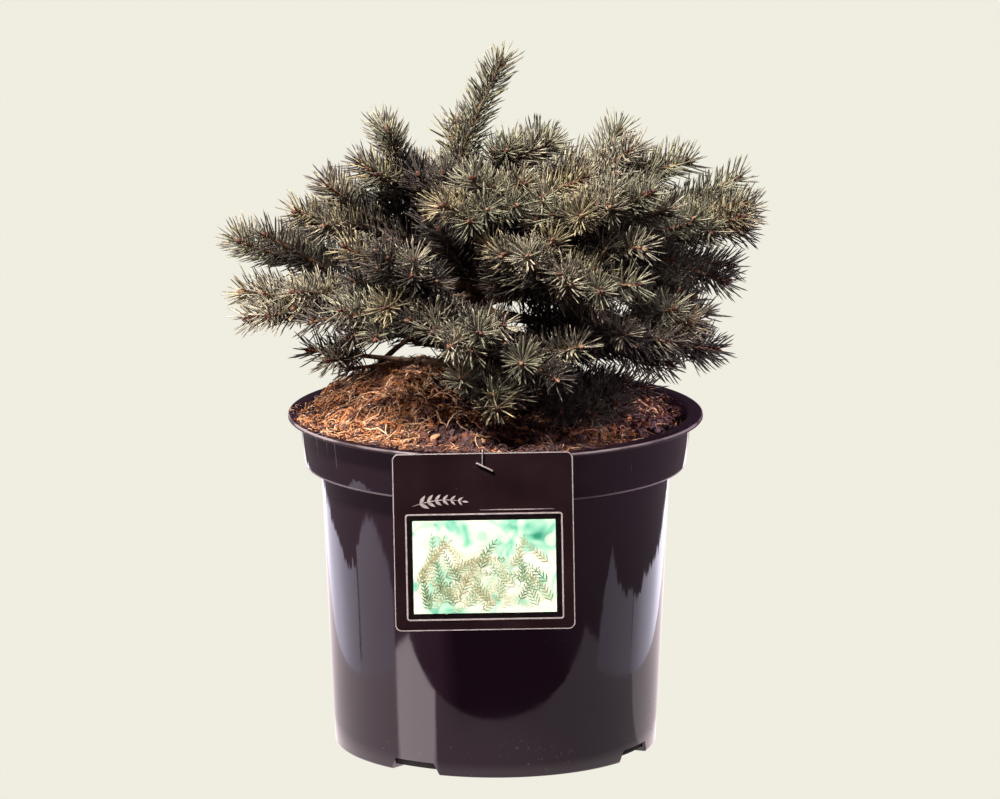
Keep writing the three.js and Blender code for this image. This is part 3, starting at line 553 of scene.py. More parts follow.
def mulch_body():
    """The mulch's points and faces: rings up the pot's wall from its floor, then rings on its lumpy top."""
    collar_foot = POT_HEIGHT - COLLAR_DEPTH
    radii = MULCH_RADIUS * np.linspace(1, 0.008, MULCH_RINGS) ** 0.8
    column, onward = neighbours(MULCH_COLUMNS)
    azimuth = column * 2 * np.pi / MULCH_COLUMNS
    x, y = radii[:, None] * np.cos(azimuth), radii[:, None] * np.sin(azimuth)
    top = stack(x, y, mulch_ground(x, y))
    inset = WALL + MULCH_INSET
    wall = [
        (FOOT_RADIUS - inset, MULCH_FLOOR),
        (BODY_TOP_RADIUS - inset, collar_foot),
        (COLLAR_FOOT_RADIUS - inset, collar_foot + COLLAR_STEP + 0.6),
    ]
    rings = [stack(r * np.cos(azimuth), r * np.sin(azimuth), z) for r, z in wall]
    grid = np.concatenate([np.stack(rings), top]).reshape(-1, 3)
    points = np.vstack([grid, [[0, 0, MULCH_FLOOR]], top[-1].mean(axis=0)[None]])
    count = len(rings) + len(radii)
    last = (count - 1) * MULCH_COLUMNS
    foot, peak = len(points) - 2, len(points) - 1
    caps = np.concatenate([stack(foot, onward, column), stack(peak, last + column, last + onward)])
    return points, [grid_faces(count, MULCH_COLUMNS), caps]


def strands(lines, radii, sides, flatness=1.0, upright=(0, 0, 1)):
    """Closed tubes along many lines that have the same number of points.

    lines is an array of strands by points by three, and radii of strands by points. At each point but
    the first and the last, a ring of corners stands square to the line, squeezed by the flatness
    towards the level. The ends are poles. Returns the points, the quads, the triangles and how many
    quads and triangles each strand has.
    """
    count, length = lines.shape[:2]
    heading = unit(np.gradient(lines, axis=1))
    side = np.cross(heading, upright)
    level = np.linalg.norm(side, axis=-1, keepdims=True)
    side = np.where(level < 0.05, np.array([1.0, 0, 0]), side / np.maximum(level, 1e-9))
    lift = unit(np.cross(side, heading))
    angle = 2 * np.pi * np.arange(sides) / sides
    across, up = np.cos(angle)[:, None], np.sin(angle)[:, None] * flatness
    inner = slice(1, length - 1)
    ring = side[:, inner, None] * across + lift[:, inner, None] * up
    ring = lines[:, inner, None] + ring * radii[:, inner, None, None]
    rings = length - 2
    each = rings * sides + 2
    points = np.concatenate([ring.reshape(count, -1, 3), lines[:, :1], lines[:, -1:]], axis=1)
    quads = grid_faces(rings, sides)[:, ::-1] if rings > 1 else np.zeros((0, 4), int)
    k, onward = neighbours(sides)
    last = (rings - 1) * sides
    tips = np.concatenate([stack(k, onward, each - 2), stack(last + onward, last + k, each - 1)])
    start = (np.arange(count) * each)[:, None, None]
    quads, tips = (quads + start).reshape(-1, 4), (tips + start).reshape(-1, 3)
    return points.reshape(-1, 3), quads, tips, (rings - 1) * sides, 2 * sides


def strand_piece(name, lines, radii, sides, materials, dealt, flatness=1.0):
    """A piece made of strands. dealt gives the number of the material that each strand takes."""
    points, quads, tips, per_quads, per_tips = strands(lines, radii, sides, flatness)
    dealt = np.concatenate([np.repeat(dealt, per_quads), np.repeat(dealt, per_tips)])
    return piece(name, points, [quads, tips], materials, dealt)


def walked(x, y, step, direction):
    """The places that fibres reach from x and y after each of their steps, each in its own direction."""
    x = x[:, None] + np.cumsum(step * np.cos(direction), axis=1)
    y = y[:, None] + np.cumsum(step * np.sin(direction), axis=1)
    return x, y


def pulled_in(x, y, limit):
    """The same places, but moved in to the limit where they lie farther than that from the middle."""
    pull = np.minimum(1, limit / np.hypot(x, y))
    return x * pull, y * pull


def wandered(random, count, steady, unsteady):
    """How far fibres have turned at their points, by a steady bend and a small random one at each."""
    bend = random.normal(0, steady, (count, 1)) + random.normal(0, unsteady, (count, FIBRE_POINTS))
    return np.cumsum(bend, axis=1)


def heights(random, count, mean, most):
    """Heights by chance, one for each fibre: an exponential curve with a mean, cut off at the most."""
    return np.clip(random.exponential(mean, (count, 1)), 0, most)


def thickness(random, count, usual, spread, least, most):
    """How thick fibres are by chance: a normal curve in the logarithm, held between two limits."""
    return np.clip(random.lognormal(usual, spread, (count, 1)), least, most)


def arched(height):
    """The heights of fibres' arches: half a wave along each fibre."""
    return height * np.sin(np.pi * np.linspace(0, 1, FIBRE_POINTS))


def fibre_lines(random):
    """The lines and thickness of the loose coir fibres.

    A fibre starts at a random place on the mulch, more often where the coir lies, and wanders: its
    direction turns by a steady bend and a small random step at each point. It arches between its ends.
    """
    spread = MULCH_RADIUS * np.sqrt(random.random(FIBRES * 3))
    turn = random.random(FIBRES * 3) * 2 * np.pi
    x, y = spread * np.cos(turn), spread * np.sin(turn)
    bare = np.hypot(x - CLOD[0], y - CLOD[1]) < CLOD_BARE
    kept = (random.random(FIBRES * 3) < coir_share(x, y)) & ~bare
    x, y = x[kept][:FIBRES], y[kept][:FIBRES]
    count = len(x)
    length = np.clip(random.lognormal(2.35, 0.5, count), *FIBRE_LENGTHS)
    turned = wandered(random, count, steady=0.34, unsteady=0.3)
    direction = random.random((count, 1)) * 2 * np.pi + turned
    step = (length / (FIBRE_POINTS - 1))[:, None]
    x, y = walked(x, y, step, direction)
    x, y = x - step * np.cos(direction[:, :1]), y - step * np.sin(direction[:, :1])
    x, y = pulled_in(x, y, MULCH_RADIUS - 0.6)
    arch = arched(heights(random, count, mean=1.1, most=5.5))
    tilt = random.exponential(1.0, (count, 1)) * np.linspace(0, 1, FIBRE_POINTS)
    lift = 0.2 + heights(random, count, mean=0.9, most=3) + arch + np.minimum(tilt, 4)
    lines = stack(x, y, mulch_ground(x, y) + lift)
    stout = thickness(random, count, usual=-1.2, spread=0.38, least=0.17, most=0.6)
    return lines, stout * FIBRE_TAPER


def long_lines(random):
    """Long pale root-like fibres that lie in wide arcs over the mulch on the left and at the front."""
    count = LONG_FIBRES
    turn = np.radians(mix(*LONG_TURNS, random.random(count)))
    radius = LONG_PLACES * np.sqrt(mix(0.1, 1, random.random(count)))
    length = mix(*LONG_LENGTHS, random.random(count) ** 1.5)
    turned = wandered(random, count, steady=0.2, unsteady=0.1)
    direction = random.random((count, 1)) * 2 * np.pi + turned
    step = (length / (FIBRE_POINTS - 1))[:, None]
    x, y = walked(radius * np.cos(turn), radius * np.sin(turn), step, direction)
    x, y = pulled_in(x, y, MULCH_RADIUS - 0.8)
    arch = arched(heights(random, count, mean=2.6, most=8))
    lines = stack(x, y, mulch_ground(x, y) + 1.6 + arch)
    stout = thickness(random, count, usual=-1.25, spread=0.25, least=0.22, most=0.42)
    return lines, stout * LONG_TAPER


def spilled_lines(random):
    """Fibres and shreds spilled on the lip, farther out over it at the front than towards the sides."""
    count = SPILLED
    turn = np.radians(mix(*SPILL_TURNS, random.random(count)))
    crowding = mix(0.7, 1.6, np.abs(np.degrees(turn) - SPILL_FRONT) / 60)
    radius = mix(*SPILL_BAND, random.random(count) ** crowding)
    length = mix(*SPILL_LENGTHS, random.random(count) ** 1.6)
    turned = wandered(random, count, steady=0.3, unsteady=0.25)
    direction = turn[:, None] + np.pi / 2 + random.normal(0, 0.7, (count, 1)) + turned
    step = (length / (FIBRE_POINTS - 1))[:, None]
    x, y = walked(radius * np.cos(turn), radius * np.sin(turn), step, direction)
    x, y = pulled_in(x, y, SPILL_RADIUS)
    arch = arched(heights(random, count, mean=0.8, most=3))
    level = np.maximum(mulch_top(x, y), POT_HEIGHT + 0.35)
    lines = stack(x, y, level + arch + 0.5 * random.random((count, 1)))
    stout = thickness(random, count, usual=-1.35, spread=0.4, least=0.14, most=0.5)
    return lines, stout * FIBRE_TAPER


def crumb_lines(random):
    """Short thick strands for the crumbs of coir pith and soil, sunk a little into the mulch."""
    spread = (MULCH_RADIUS - 1.5) * np.sqrt(random.random(CRUMBS))
    turn = random.random(CRUMBS) * 2 * np.pi
    x, y = spread * np.cos(turn), spread * np.sin(turn)
    size = np.clip(random.lognormal(0.35, 0.4, CRUMBS), *CRUMB_SIZES)
    heading = random.random(CRUMBS) * 2 * np.pi
    along = np.linspace(-1, 1, len(CRUMB_SHAPE))[None, :]
    x = x[:, None] + size[:, None] * along * np.cos(heading)[:, None]
    y = y[:, None] + size[:, None] * along * np.sin(heading)[:, None]
    rise = random.normal(0, 0.35, x.shape) * size[:, None]
    lines = stack(x, y, mulch_ground(x, y) + rise + 0.3)
    lines += random.normal(0, 0.16, lines.shape) * size[:, None, None]
    stout = size[:, None] * CRUMB_SHAPE * (1 + random.normal(0, 0.2, x.shape))
    inside = np.hypot(lines[..., 0], lines[..., 1]).max(axis=1) < MULCH_RADIUS - 1
    return lines[inside], np.abs(stout)[inside]


def earth_finish(name, colour, dark, scale, roughness=0.9, painted_shade_below=False):
    """A matt finish whose colour drifts towards a darker one by noise, with a fine grain in relief.

    If asked, it turns black below the pot's collar: painted shade for the dark deep inside the pot.
    """
    material, tree, shader = finish_of(name, roughness=roughness, specular_ior_level=0.25)
    place = object_coordinates(tree)
    drift = clouds(tree, place, scale=scale, detail=5.0, roughness=0.65)
    base = ramp(tree, drift, [(0.36, dark), (0.62, colour)])
    # Painted shade: black below the collar, where the inside of the pot is dark.
    if painted_shade_below:
        height = node(tree, "ShaderNodeSeparateXYZ", {"Vector": place}).outputs["Z"]
        base = mixed(tree, scaled(tree, height, 0.16, 0.13), base, (0.004, 0.003, 0.003, 1))
    painted(tree, shader, base)
    bumped(tree, shader, clouds(tree, place, scale=scale * 6, detail=3.0), distance=0.0006, strength=0.7)
    return material


# The bed's soil takes painted shade below the collar.
SOIL = earth_finish("coir_bed", (0.072, 0.034, 0.031, 1), (0.015, 0.007, 0.009, 1), 160.0, painted_shade_below=True)
COIR = [
    earth_finish("coir_tan", (0.66, 0.37, 0.215, 1), (0.38, 0.17, 0.09, 1), 240.0, 0.7),
    earth_finish("coir_orange", (0.68, 0.28, 0.105, 1), (0.36, 0.125, 0.05, 1), 240.0, 0.75),
    earth_finish("coir_pale", (0.84, 0.60, 0.42, 1), (0.58, 0.34, 0.21, 1), 240.0, 0.65),
    earth_finish("coir_brown", (0.17, 0.072, 0.054, 1), (0.07, 0.028, 0.025, 1), 240.0, 0.85),
    earth_finish("coir_dark", (0.155, 0.095, 0.104, 1), (0.045, 0.026, 0.031, 1), 240.0, 0.9),
]
COIR_BROWN = 3

points, faces = mulch_body()
mulch = piece("coir_bed", points, faces, [SOIL])
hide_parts("potting_mulch")
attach(mulch, "root")

# Each lot of loose mulch: its lines and thickness, a strand's sides, and the chances of each coir colour.
# A strand that starts where there is more soil than coir takes one of the two dark colours instead. The
# long fibres, which lie on top, don't.
random = np.random.default_rng(21)
for name, (lines, radii), sides, chances in (
    ("coir_fibres", fibre_lines(random), 3, (0.34, 0.22, 0.19, 0.17, 0.08)),
    ("coir_crumbs", crumb_lines(random), 5, (0.16, 0.20, 0.02, 0.30, 0.32)),
    ("coir_spilled", spilled_lines(random), 3, (0.32, 0.30, 0.14, 0.16, 0.08)),
    ("coir_long_fibres", long_lines(random), 5, (0.3, 0.04, 0.6, 0.06, 0.0)),
):
    starts = lines[:, 0] * [1, 1, 0]
    share = coir_share(starts[:, 0], starts[:, 1])
    share = np.where(share < 0.1, -0.3, share)
    patch = noise(starts, 8, 17) + 0.6 * noise(starts, 20, 18)
    dealt = random.choice(len(COIR), len(lines), p=chances)
    on_top = name == "coir_long_fibres"
    in_soil = random.random(len(lines)) > share + 0.22 + 0.9 * patch + on_top
    dealt = np.where(in_soil, COIR_BROWN + dealt % 2, dealt)
    made = strand_piece(name, lines, radii, sides, COIR, dealt)
    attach(made, "root")

# The trunk and the boughs.
# A short leaning trunk with a root flare, 25 boughs that leave it at several heights, sag and turn up,
# and two old limbs that droop on to the mulch. The bark is thin, grey-brown and scaly.
TRUNK_TOP = 306.0
TRUNK_LEAN = np.array([-24.0, 4.0])
GAP = 0.3
TRUNK_FOOT = FLAT_LEVEL + GAP
TRUNK_SIDES = 44
BOUGH_SIDES = 16
HEART = np.array([0, 0, 232.0])
UP = np.array([0, 0, 1.0])
TIP_ALLOWANCE = 12.0
SAG = 0.07
FORK_SHARE = 0.34
PAST_FORK = 0.1
BOUGH_RADIUS = 3.4
BOUGH_TIP_RADIUS = 2.1
BOUGH_END = 0.45
COLLAR_SWELL = 1.6
COLLAR_FADE = 0.035
DROOPING_END = 1.1
# Each bough's name, the share of the trunk's height where it leaves, its azimuth and rise in degrees,
# its reach from the crown's middle, and the swing and roll in degrees of its mass's leading shoots,
# where they have no place of their own further on.
BOUGHS = (
    ("left_far", 0.58, 188, 12, 155, 12, 80),
    ("left_high", 0.7, 177, 37, 145, 10, 90),
    ("left_crest", 0.88, 184, 56, 144, 15, 90),
    ("right_crest", 0.86, 7, 48, 150, 11, 90),
    ("right_far", 0.7, 359, 26, 165, 8, 90),
    ("right_low", 0.3, 3, 3, 134, 13, 80),
    ("right_front", 0.42, 330, 9, 136, 13, 0),
    ("left_low", 0.16, 184, -3, 114, 15, 60),
    ("left_front", 0.5, 229, 21, 127, 13, 80),
    ("front_left", 0.36, 257, 17, 131, 14, -30),
    ("front_crest", 0.94, 290, 52, 118, 15, 0),
    ("front_high", 0.78, 313, 37, 140, 12, 0),
    ("front_mid", 0.56, 297, 25, 138, 13, 45),
    ("front_low", 0.24, 289, 6, 131, 15, 15),
    ("front_skirt", 0.1, 266, -9, 120, 13, 20),
    ("right_skirt", 0.14, 314, -13, 108, 14, 0),
    ("back_right", 0.48, 36, 14, 146, 13, 40),
    ("back_mid", 0.54, 74, 18, 138, 14, 0),
    ("back_left", 0.44, 112, 14, 138, 14, 20),
    ("back_side", 0.5, 147, 20, 144, 13, 60),
    ("back_crest", 0.8, 58, 46, 132, 14, 0),
    ("back_high", 0.82, 122, 47, 134, 14, 0),
    ("back_skirt", 0.16, 58, -7, 112, 16, 0),
    ("back_foot", 0.2, 128, -6, 114, 16, 0),
    ("crown", 0.96, 20, 79, 122, 12, 0),
)
# Old bare limbs that droop on to the mulch: start, handle, tip and thickness at the start.
DROOPING = (
    ((-8, 4, 249), (-44, 12, 234), (-76, 17, 199), 2.1),
    ((-6, 4, 238), (-24, 12, 221), (-45, 17, 201), 1.7),
)


def bezier(handles, share):
    """Points of a quadratic curve at the shares: (1-t)^2 a + 2t(1-t) b + t^2 c."""
    t = np.asarray(share, float)[..., None]
    return (1 - t) ** 2 * handles[0] + 2 * t * (1 - t) * handles[1] + t**2 * handles[2]


def bezier_heading(handles, share):
    """Unit directions of a quadratic curve at the shares: (1-t)(b-a) + t(c-b), made a unit."""
    t = np.asarray(share, float)[..., None]
    return unit((1 - t) * (handles[1] - handles[0]) + t * (handles[2] - handles[1]))


def polar(azimuth, rise):
    """The unit vector at an azimuth and a rise in degrees."""
    a, e = np.radians(azimuth), np.radians(rise)
    return np.array([np.cos(a) * np.cos(e), np.sin(a) * np.cos(e), np.sin(e)])


def side_and_lift(heading):
    """Two unit vectors square to each direction: the first level where it can be, the second towards up."""
    steep = np.abs(heading[..., 2:]) > 0.92
    side = unit(np.cross(heading, np.where(steep, np.array([0, 1.0, 0]), UP)))
    return side, unit(np.cross(side, heading))


def trunk_at(share):
    """The trunk's middle line: it leans as a power of the height."""
    share = np.asarray(share, float)
    x, y = TRUNK_LEAN[0] * share**1.3, TRUNK_LEAN[1] * share
    return stack(x, y, mix(TRUNK_FOOT, TRUNK_TOP, share))


def trunk_radius(share):
    """The trunk's thickness: a straight taper, with a root flare that dies away as an exponential."""
    return mix(8.2, 3.2, share) + 4.5 * np.exp(-np.asarray(share, float) / 0.09)


def limb_handles(row):
    """The quadratic curve of a bough and of the mass it carries, from the trunk, sagging and turning up."""
    _, at, azimuth, rise, reach, _, _ = row
    start = trunk_at(at)
    tip = HEART + polar(azimuth, rise) * (reach - TIP_ALLOWANCE)
    chord = tip - start
    middle = start + chord / 2 - UP * SAG * np.linalg.norm(chord)
    return np.array([start, middle, tip])


def bark_tube(centres, radii, sides, seed, relief):
    """A closed tube with bark relief along a line of centres.

    Rings stand square to the line. The skin is pushed out and in by long ridges, which are a noise of
    the angle stretched along the limb, and by scales, which are a noise of about the limb's radius.
    """
    heading = unit(np.gradient(centres, axis=0))
    side = unit(np.cross(heading, np.array([0.13, 0.97, 0.2])))
    lift = np.cross(side, heading)
    column, onward = neighbours(sides)
    angle = 2 * np.pi * column / sides
    around = side[:, None] * np.cos(angle)[:, None] + lift[:, None] * np.sin(angle)[:, None]
    along = np.concatenate([[0], np.cumsum(np.linalg.norm(np.diff(centres, axis=0), axis=1))])
    on_skin = stack(np.cos(angle) * radii[:, None], np.sin(angle) * radii[:, None], along[:, None])
    ridges = noise(on_skin * [1, 1, 0.28], 1.7, seed)
    scales = noise(on_skin, 1.1, seed + 1) + 0.6 * noise(on_skin, 3.5, seed + 2)
    push = relief * (0.55 * ridges + 0.4 * scales) * np.minimum(1, radii / 3)[:, None]
    points = centres[:, None] + around * (radii[:, None] + push)[..., None]
    points = np.vstack([points.reshape(-1, 3), centres[:1], centres[-1:]])
    last = (len(centres) - 1) * sides
    foot, tip = len(points) - 2, len(points) - 1
    caps = np.concatenate([stack(foot, column, onward), stack(tip, last + onward, last + column)])
    return points, grid_faces(len(centres), sides)[:, ::-1], caps


def joined(parts):
    """Many lots of points, quads and triangles as one, with the corner numbers moved on."""
    start = np.cumsum([0] + [len(points) for points, _, _ in parts[:-1]])
    return (
        np.concatenate([points for points, _, _ in parts]),
        np.concatenate([quads + first for (_, quads, _), first in zip(parts, start)]),
        np.concatenate([caps + first for (_, _, caps), first in zip(parts, start)]),
    )


def bark_finish(name, colour, dark, lichen):
    """Thin scaly bark: flakes of two browns by a cell pattern, lichen-grey flecks and a rough relief."""
    material, tree, shader = finish_of(name, roughness=0.88, specular_ior_level=0.2)
    place = object_coordinates(tree)
    cells = node(tree, "ShaderNodeTexVoronoi", {"Vector": place, "Scale": 420.0}, feature="F1")
    drift = clouds(tree, place, scale=120.0, detail=6.0, roughness=0.7)
    flakes = maths(tree, "MULTIPLY_ADD", cells.outputs["Distance"], 0.35, drift)
    base = ramp(tree, flakes, [(0.42, dark), (0.78, colour)])
    grey = flecks(tree, place, fleck_scale=260.0, patch_scale=60.0, limit=0.82)
    painted(tree, shader, mixed(tree, grey, base, lichen))
    bumped(tree, shader, flakes, distance=0.0009, strength=0.8)
    return material


GREY_BARK = ((0.115, 0.068, 0.045, 1), (0.02, 0.012, 0.011, 1), (0.17, 0.15, 0.12, 1))
ORANGE_BARK = ((0.20, 0.105, 0.06, 1), (0.075, 0.036, 0.026, 1), (0.30, 0.20, 0.12, 1))
BARK = bark_finish("spruce_bark", *GREY_BARK)
TWIG_BARK = bark_finish("twig_bark", *ORANGE_BARK)

# A bough swells where it leaves the trunk, and narrows past its fork, inside the mass that it carries.
share = np.linspace(0, 1, 110) ** 1.15
limbs = [bark_tube(trunk_at(share), trunk_radius(share), TRUNK_SIDES, 40, 1.0)]
for i, row in enumerate(BOUGHS):
    share = np.linspace(0, FORK_SHARE + PAST_FORK, 46)
    thick = min(BOUGH_RADIUS, 0.6 * trunk_radius(row[1]))
    collar = COLLAR_SWELL * np.exp(-share / COLLAR_FADE)
    radii = mix(thick, BOUGH_TIP_RADIUS, np.minimum(1, share / FORK_SHARE)) + collar
    radii *= mix(1, BOUGH_END, smoothstep(share, FORK_SHARE, FORK_SHARE + PAST_FORK))
    limbs.append(bark_tube(bezier(limb_handles(row), share), radii, BOUGH_SIDES, 50 + 3 * i, 0.8))
for i, (start, middle, tip, thick) in enumerate(DROOPING):
    share = np.linspace(0, 1, 30)
    line = bezier(np.array([start, middle, tip], float), share)
    limbs.append(bark_tube(line, mix(thick, DROOPING_END, share), 12, 140 + 3 * i, 0.7))
points, quads, caps = joined(limbs)
wood = piece("bark_limbs", points, [quads, caps], [BARK])
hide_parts("trunk", *("bough_" + row[0] for row in BOUGHS))
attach(wood, "root")

# The shoots.
# Each bough carries a mass of two to four leading shoots, with side shoots that leave them to alternate
# sides by a seeded rule, and short twigs on those. A shoot is an orange-brown twig with a spiral of
# stiff curved needles, glaucous to olive, and scaly red-brown buds at its tip.
LEADER_TIP = np.array([3.0, 0, 398.0])
STEM_LENGTH = 9.0
LEAD_HOLD = 0.2
SHOOT_RADIUS = 1.35
SIDE_RADIUS = 1.0
TWIG_RADIUS = 0.85
BARE_LEADING = 0.14
BARE_FOOT = 0.05
SIDE_SHOOTS = 5
SIDE_FIRST = 0.2
SIDE_LAST = 0.66
SIDE_ANGLE = 47.0
SIDE_LENGTH = 0.62
SHORTEST_SHOOT = 10.0
CELL_CLEAR = 0.25
CORE_CLEAR = 2.3
TWIG_FROM = 33.0
TWIG_LENGTH = 0.75
REACH_MARGIN = 2.0
INNER_LENGTH = 0.8
INNER_LAST = 0.95
INNER_PARENT = 46.0
TOP_SHOOTS = 18
TOP_PARENT = 64.0
TOP_TURN = 137.5
LEADER_LAST, LEADER_SIDES = 0.42, 0.42
NEEDLES_PER_MM = 3.2
NEEDLE_LENGTH = 14.0
NEEDLE_RADIUS = 0.48
NEEDLE_SHAPE = np.array([0, 0.8, 1, 0.8, 0])
# Needles nearer than about this to the crown's heart are old, and their dark colour is partly painted shade.
OLD_AND_SHADED_DEPTH = 86.0
GOLDEN_TURN = 2.39996
# How far a needle leans off its twig, in degrees: at the tip, and lower down below and above the twig.
LEAN_AT_TIP, LEAN_BELOW, LEAN_ABOVE = 42, 56, 72
THINNED_BELOW = 0.25
# The gap under the crown's left edge: its left side, foot and top, and its right side at a level and at
# that many millimetres above it.
OPENING_LEFT, OPENING_FOOT, OPENING_TOP = -71, 209, 222.5
OPENING_RIGHT, OPENING_LEVEL, OPENING_RISE = (-30, -36), 211, 12
SIGHT_SLOPE = 0.216

names = [row[0] for row in BOUGHS] + ["leader"]
# Where the leading shoots of some masses end: x, y and z. Those of the others swing to both sides of
# their bough's line.
LEADING_TIPS = {
    "left_far": ((-141, -4, 286), (-139, -24, 259), (-136, -34, 246)),
    "left_high": ((-93, 8, 312), (-110, -16, 302), (-58, 14, 307)),
    "left_crest": ((-61, 2, 346), (-70, -14, 326)),
    "right_crest": ((78, 6, 334), (107, -4, 328)),
    "right_far": ((134, -2, 319), (137, -8, 292), (131, 4, 268)),
    "right_low": ((123, 6, 220), (109, -22, 238), (98, 16, 209)),
    "right_front": ((70, -98, 250), (106, -66, 250)),
    "left_low": ((-102, -18, 225), (-81, -2, 211)),
    "left_front": ((-65, -84, 293), (-84, -84, 261), (-45, -96, 282), (-60, -94, 264)),
    "front_left": ((-8, -112, 254), (-34, -104, 253)),
    "front_crest": ((-1, -66, 325), (49, -48, 327), (-14, -84, 310)),
    "front_high": ((60, -88, 319), (92, -64, 313), (80, -90, 296)),
    "front_mid": ((40, -114, 281), (77, -98, 278), (31, -100, 303)),
    "front_low": ((14, -116, 238), (46, -106, 245)),
    "front_skirt": ((-19, -104, 227), (1, -108, 212)),
    "right_skirt": ((36, -92, 206), (66, -74, 207), (84, -44, 209)),
    "crown": ((9, -8, 338), (32, 4, 338)),
    "back_crest": ((40, 62, 317), (63, 48, 310)),
    "back_high": ((-30, 64, 315), (-52, 50, 309)),
    "back_skirt": ((86, 50, 214), (62, 74, 222), (38, 96, 214)),
}
# The masses with fewer side shoots, at the crown's foot and its far left.
SPARSE = ("left_low", "left_far", "right_low", "front_skirt", "front_low", "right_skirt")


def seeded(seed):
    """A stream of numbers from 0 to 1: a linear congruential generator, started by a hash of the seed."""
    state = (seed + 1) * 2654435761 % 2**32
    while True:
        state = (state * 1664525 + 1013904223) % 2**32
        yield state / 2**32


def leading_shoot(start, heading, tip):
    """A leading shoot's curve: it leaves along the bough and bends towards its tip."""
    length = np.linalg.norm(tip - start)
    turning = mix(unit(tip - start), heading, LEAD_HOLD)
    return np.array([start, start + turning * 0.45 * length, tip]), length


def side_shoots(parent, length_of_parent, seed, side_length, side_last, count, turn_step=180.0):
    """The side shoots of a shoot: at stations along it, leaning forward and bending on.

    Each one leaves the parent a turn step further round it than the one before: to alternate sides,
    unless told otherwise.
    """
    random = seeded(seed)
    shoots = []
    for k in range(count):
        share = mix(SIDE_FIRST, side_last, k / (count - 1)) + 0.05 * (next(random) - 0.5)
        start, heading = bezier(parent, share), bezier_heading(parent, share)
        side, lift = side_and_lift(heading)
        turn = np.radians(k * turn_step + 70 * (next(random) - 0.5))
        outward = side * np.cos(turn) + lift * np.sin(turn)
        angle = np.radians(SIDE_ANGLE + 14 * (next(random) - 0.5))
        length = side_length * length_of_parent * (1.12 - 0.6 * share) * (0.88 + 0.24 * next(random))
        direction = heading * np.cos(angle) + outward * np.sin(angle)
        tip = start + direction * 0.85 * length + heading * 0.25 * length
        shoots.append((np.array([start, start + direction * 0.5 * length, tip]), length))
    return shoots


def cut(handles, length, keep):
    """The first part of a curve, up to a share of it, and its length."""
    return np.array([handles[0], mix(handles[0], handles[1], keep), bezier(handles, keep)]), length * keep


def mass_plan(index):
    """The leading shoots of a mass. The last mass is the leader, which stands on the trunk's tip."""
    if index == len(BOUGHS):
        start, heading, tips = trunk_at(1) + UP * GAP, UP, [LEADER_TIP - UP * (TIP_ALLOWANCE + 3)]
    else:
        *_, swing, roll = BOUGHS[index]
        handles = limb_handles(BOUGHS[index])
        heading = bezier_heading(handles, FORK_SHARE)
        start = bezier(handles, FORK_SHARE) + heading * GAP
        onward = handles[2] - start
        side, lift = side_and_lift(unit(onward))
        across = side * np.cos(np.radians(roll)) + lift * np.sin(np.radians(roll))
        distance, turns = np.linalg.norm(onward), np.radians([-swing, swing])
        swung = [start + onward * np.cos(turn) + across * np.sin(turn) * distance for turn in turns]
        tips = [np.array(tip, float) for tip in LEADING_TIPS.get(names[index], swung)]
    forks = [start + heading * STEM_LENGTH / (j + 1) for j in range(len(tips))]
    return [leading_shoot(fork, heading, tip) for fork, tip in zip(forks, tips)]


plans = [mass_plan(index) for index in range(len(BOUGHS) + 1)]
middles = np.array([np.mean([bezier(lead, 0.5) for lead, _ in plan], axis=0) for plan in plans])


def in_cell(points, index):
    """Whether points lie nearer to their mass's middle than to any other mass's middle."""
    others = np.delete(middles, index, axis=0)
    away = others - middles[index]
    half = np.linalg.norm(away, axis=1) / 2
    along = (points - middles[index]) @ away.T / (2 * half)
    return (along < half - CELL_CLEAR).all(axis=-1)


def above_pot(points, clear):
    """Whether points lie above the mulch, and above the lip where they are over it."""
    x, y, z = np.moveaxis(points, -1, 0)
    lip = np.where(np.hypot(x, y) > COLLAR_TOP_RADIUS - 2 * WALL, POT_HEIGHT, 0)
    return z > np.maximum(lip, mulch_top(x, y)) + clear


def directions(count):
    """Unit vectors spread over the whole sphere by the golden angle."""
    z = 1 - (2 * np.arange(count) + 1) / count
    turn = np.arange(count) * GOLDEN_TURN
    return stack(np.sqrt(1 - z**2) * np.cos(turn), np.sqrt(1 - z**2) * np.sin(turn), z)


AROUND = directions(60)


def reach_of(shoots):
    """How far shoots go in each of many directions, with a small margin."""
    ends = np.concatenate([handles for handles, *_ in shoots])
    return (ends @ AROUND.T).max(axis=0) + REACH_MARGIN


def in_opening(points):
    """Whether points lie in the gap under the crown's left edge, where the light comes through.

    The gap runs along the viewer's line of sight, which falls by the tangent of 12.2 degrees.
    """
    x, y, z = np.moveaxis(points, -1, 0)
    level = z + SIGHT_SLOPE * y
    right = mix(*OPENING_RIGHT, (level - OPENING_LEVEL) / OPENING_RISE)
    return (x > OPENING_LEFT) & (x < right) & (level > OPENING_FOOT) & (level < OPENING_TOP)


def fitted(handles, length, allowed):
    """A shoot cut back until it has room along its whole length, or nothing where too little is left."""
    keep = 1.0
    while keep * length > SHORTEST_SHOOT:
        places = bezier(handles, keep * np.array([0.35, 0.55, 0.75, 0.9, 1]))
        if (allowed(places) & above_pot(places, CORE_CLEAR)).all():
            return cut(handles, length, keep)
        keep -= 0.08
    return None


CROWN_REACH = reach_of([lead for plan in plans for lead in plan]) - 6 * REACH_MARGIN


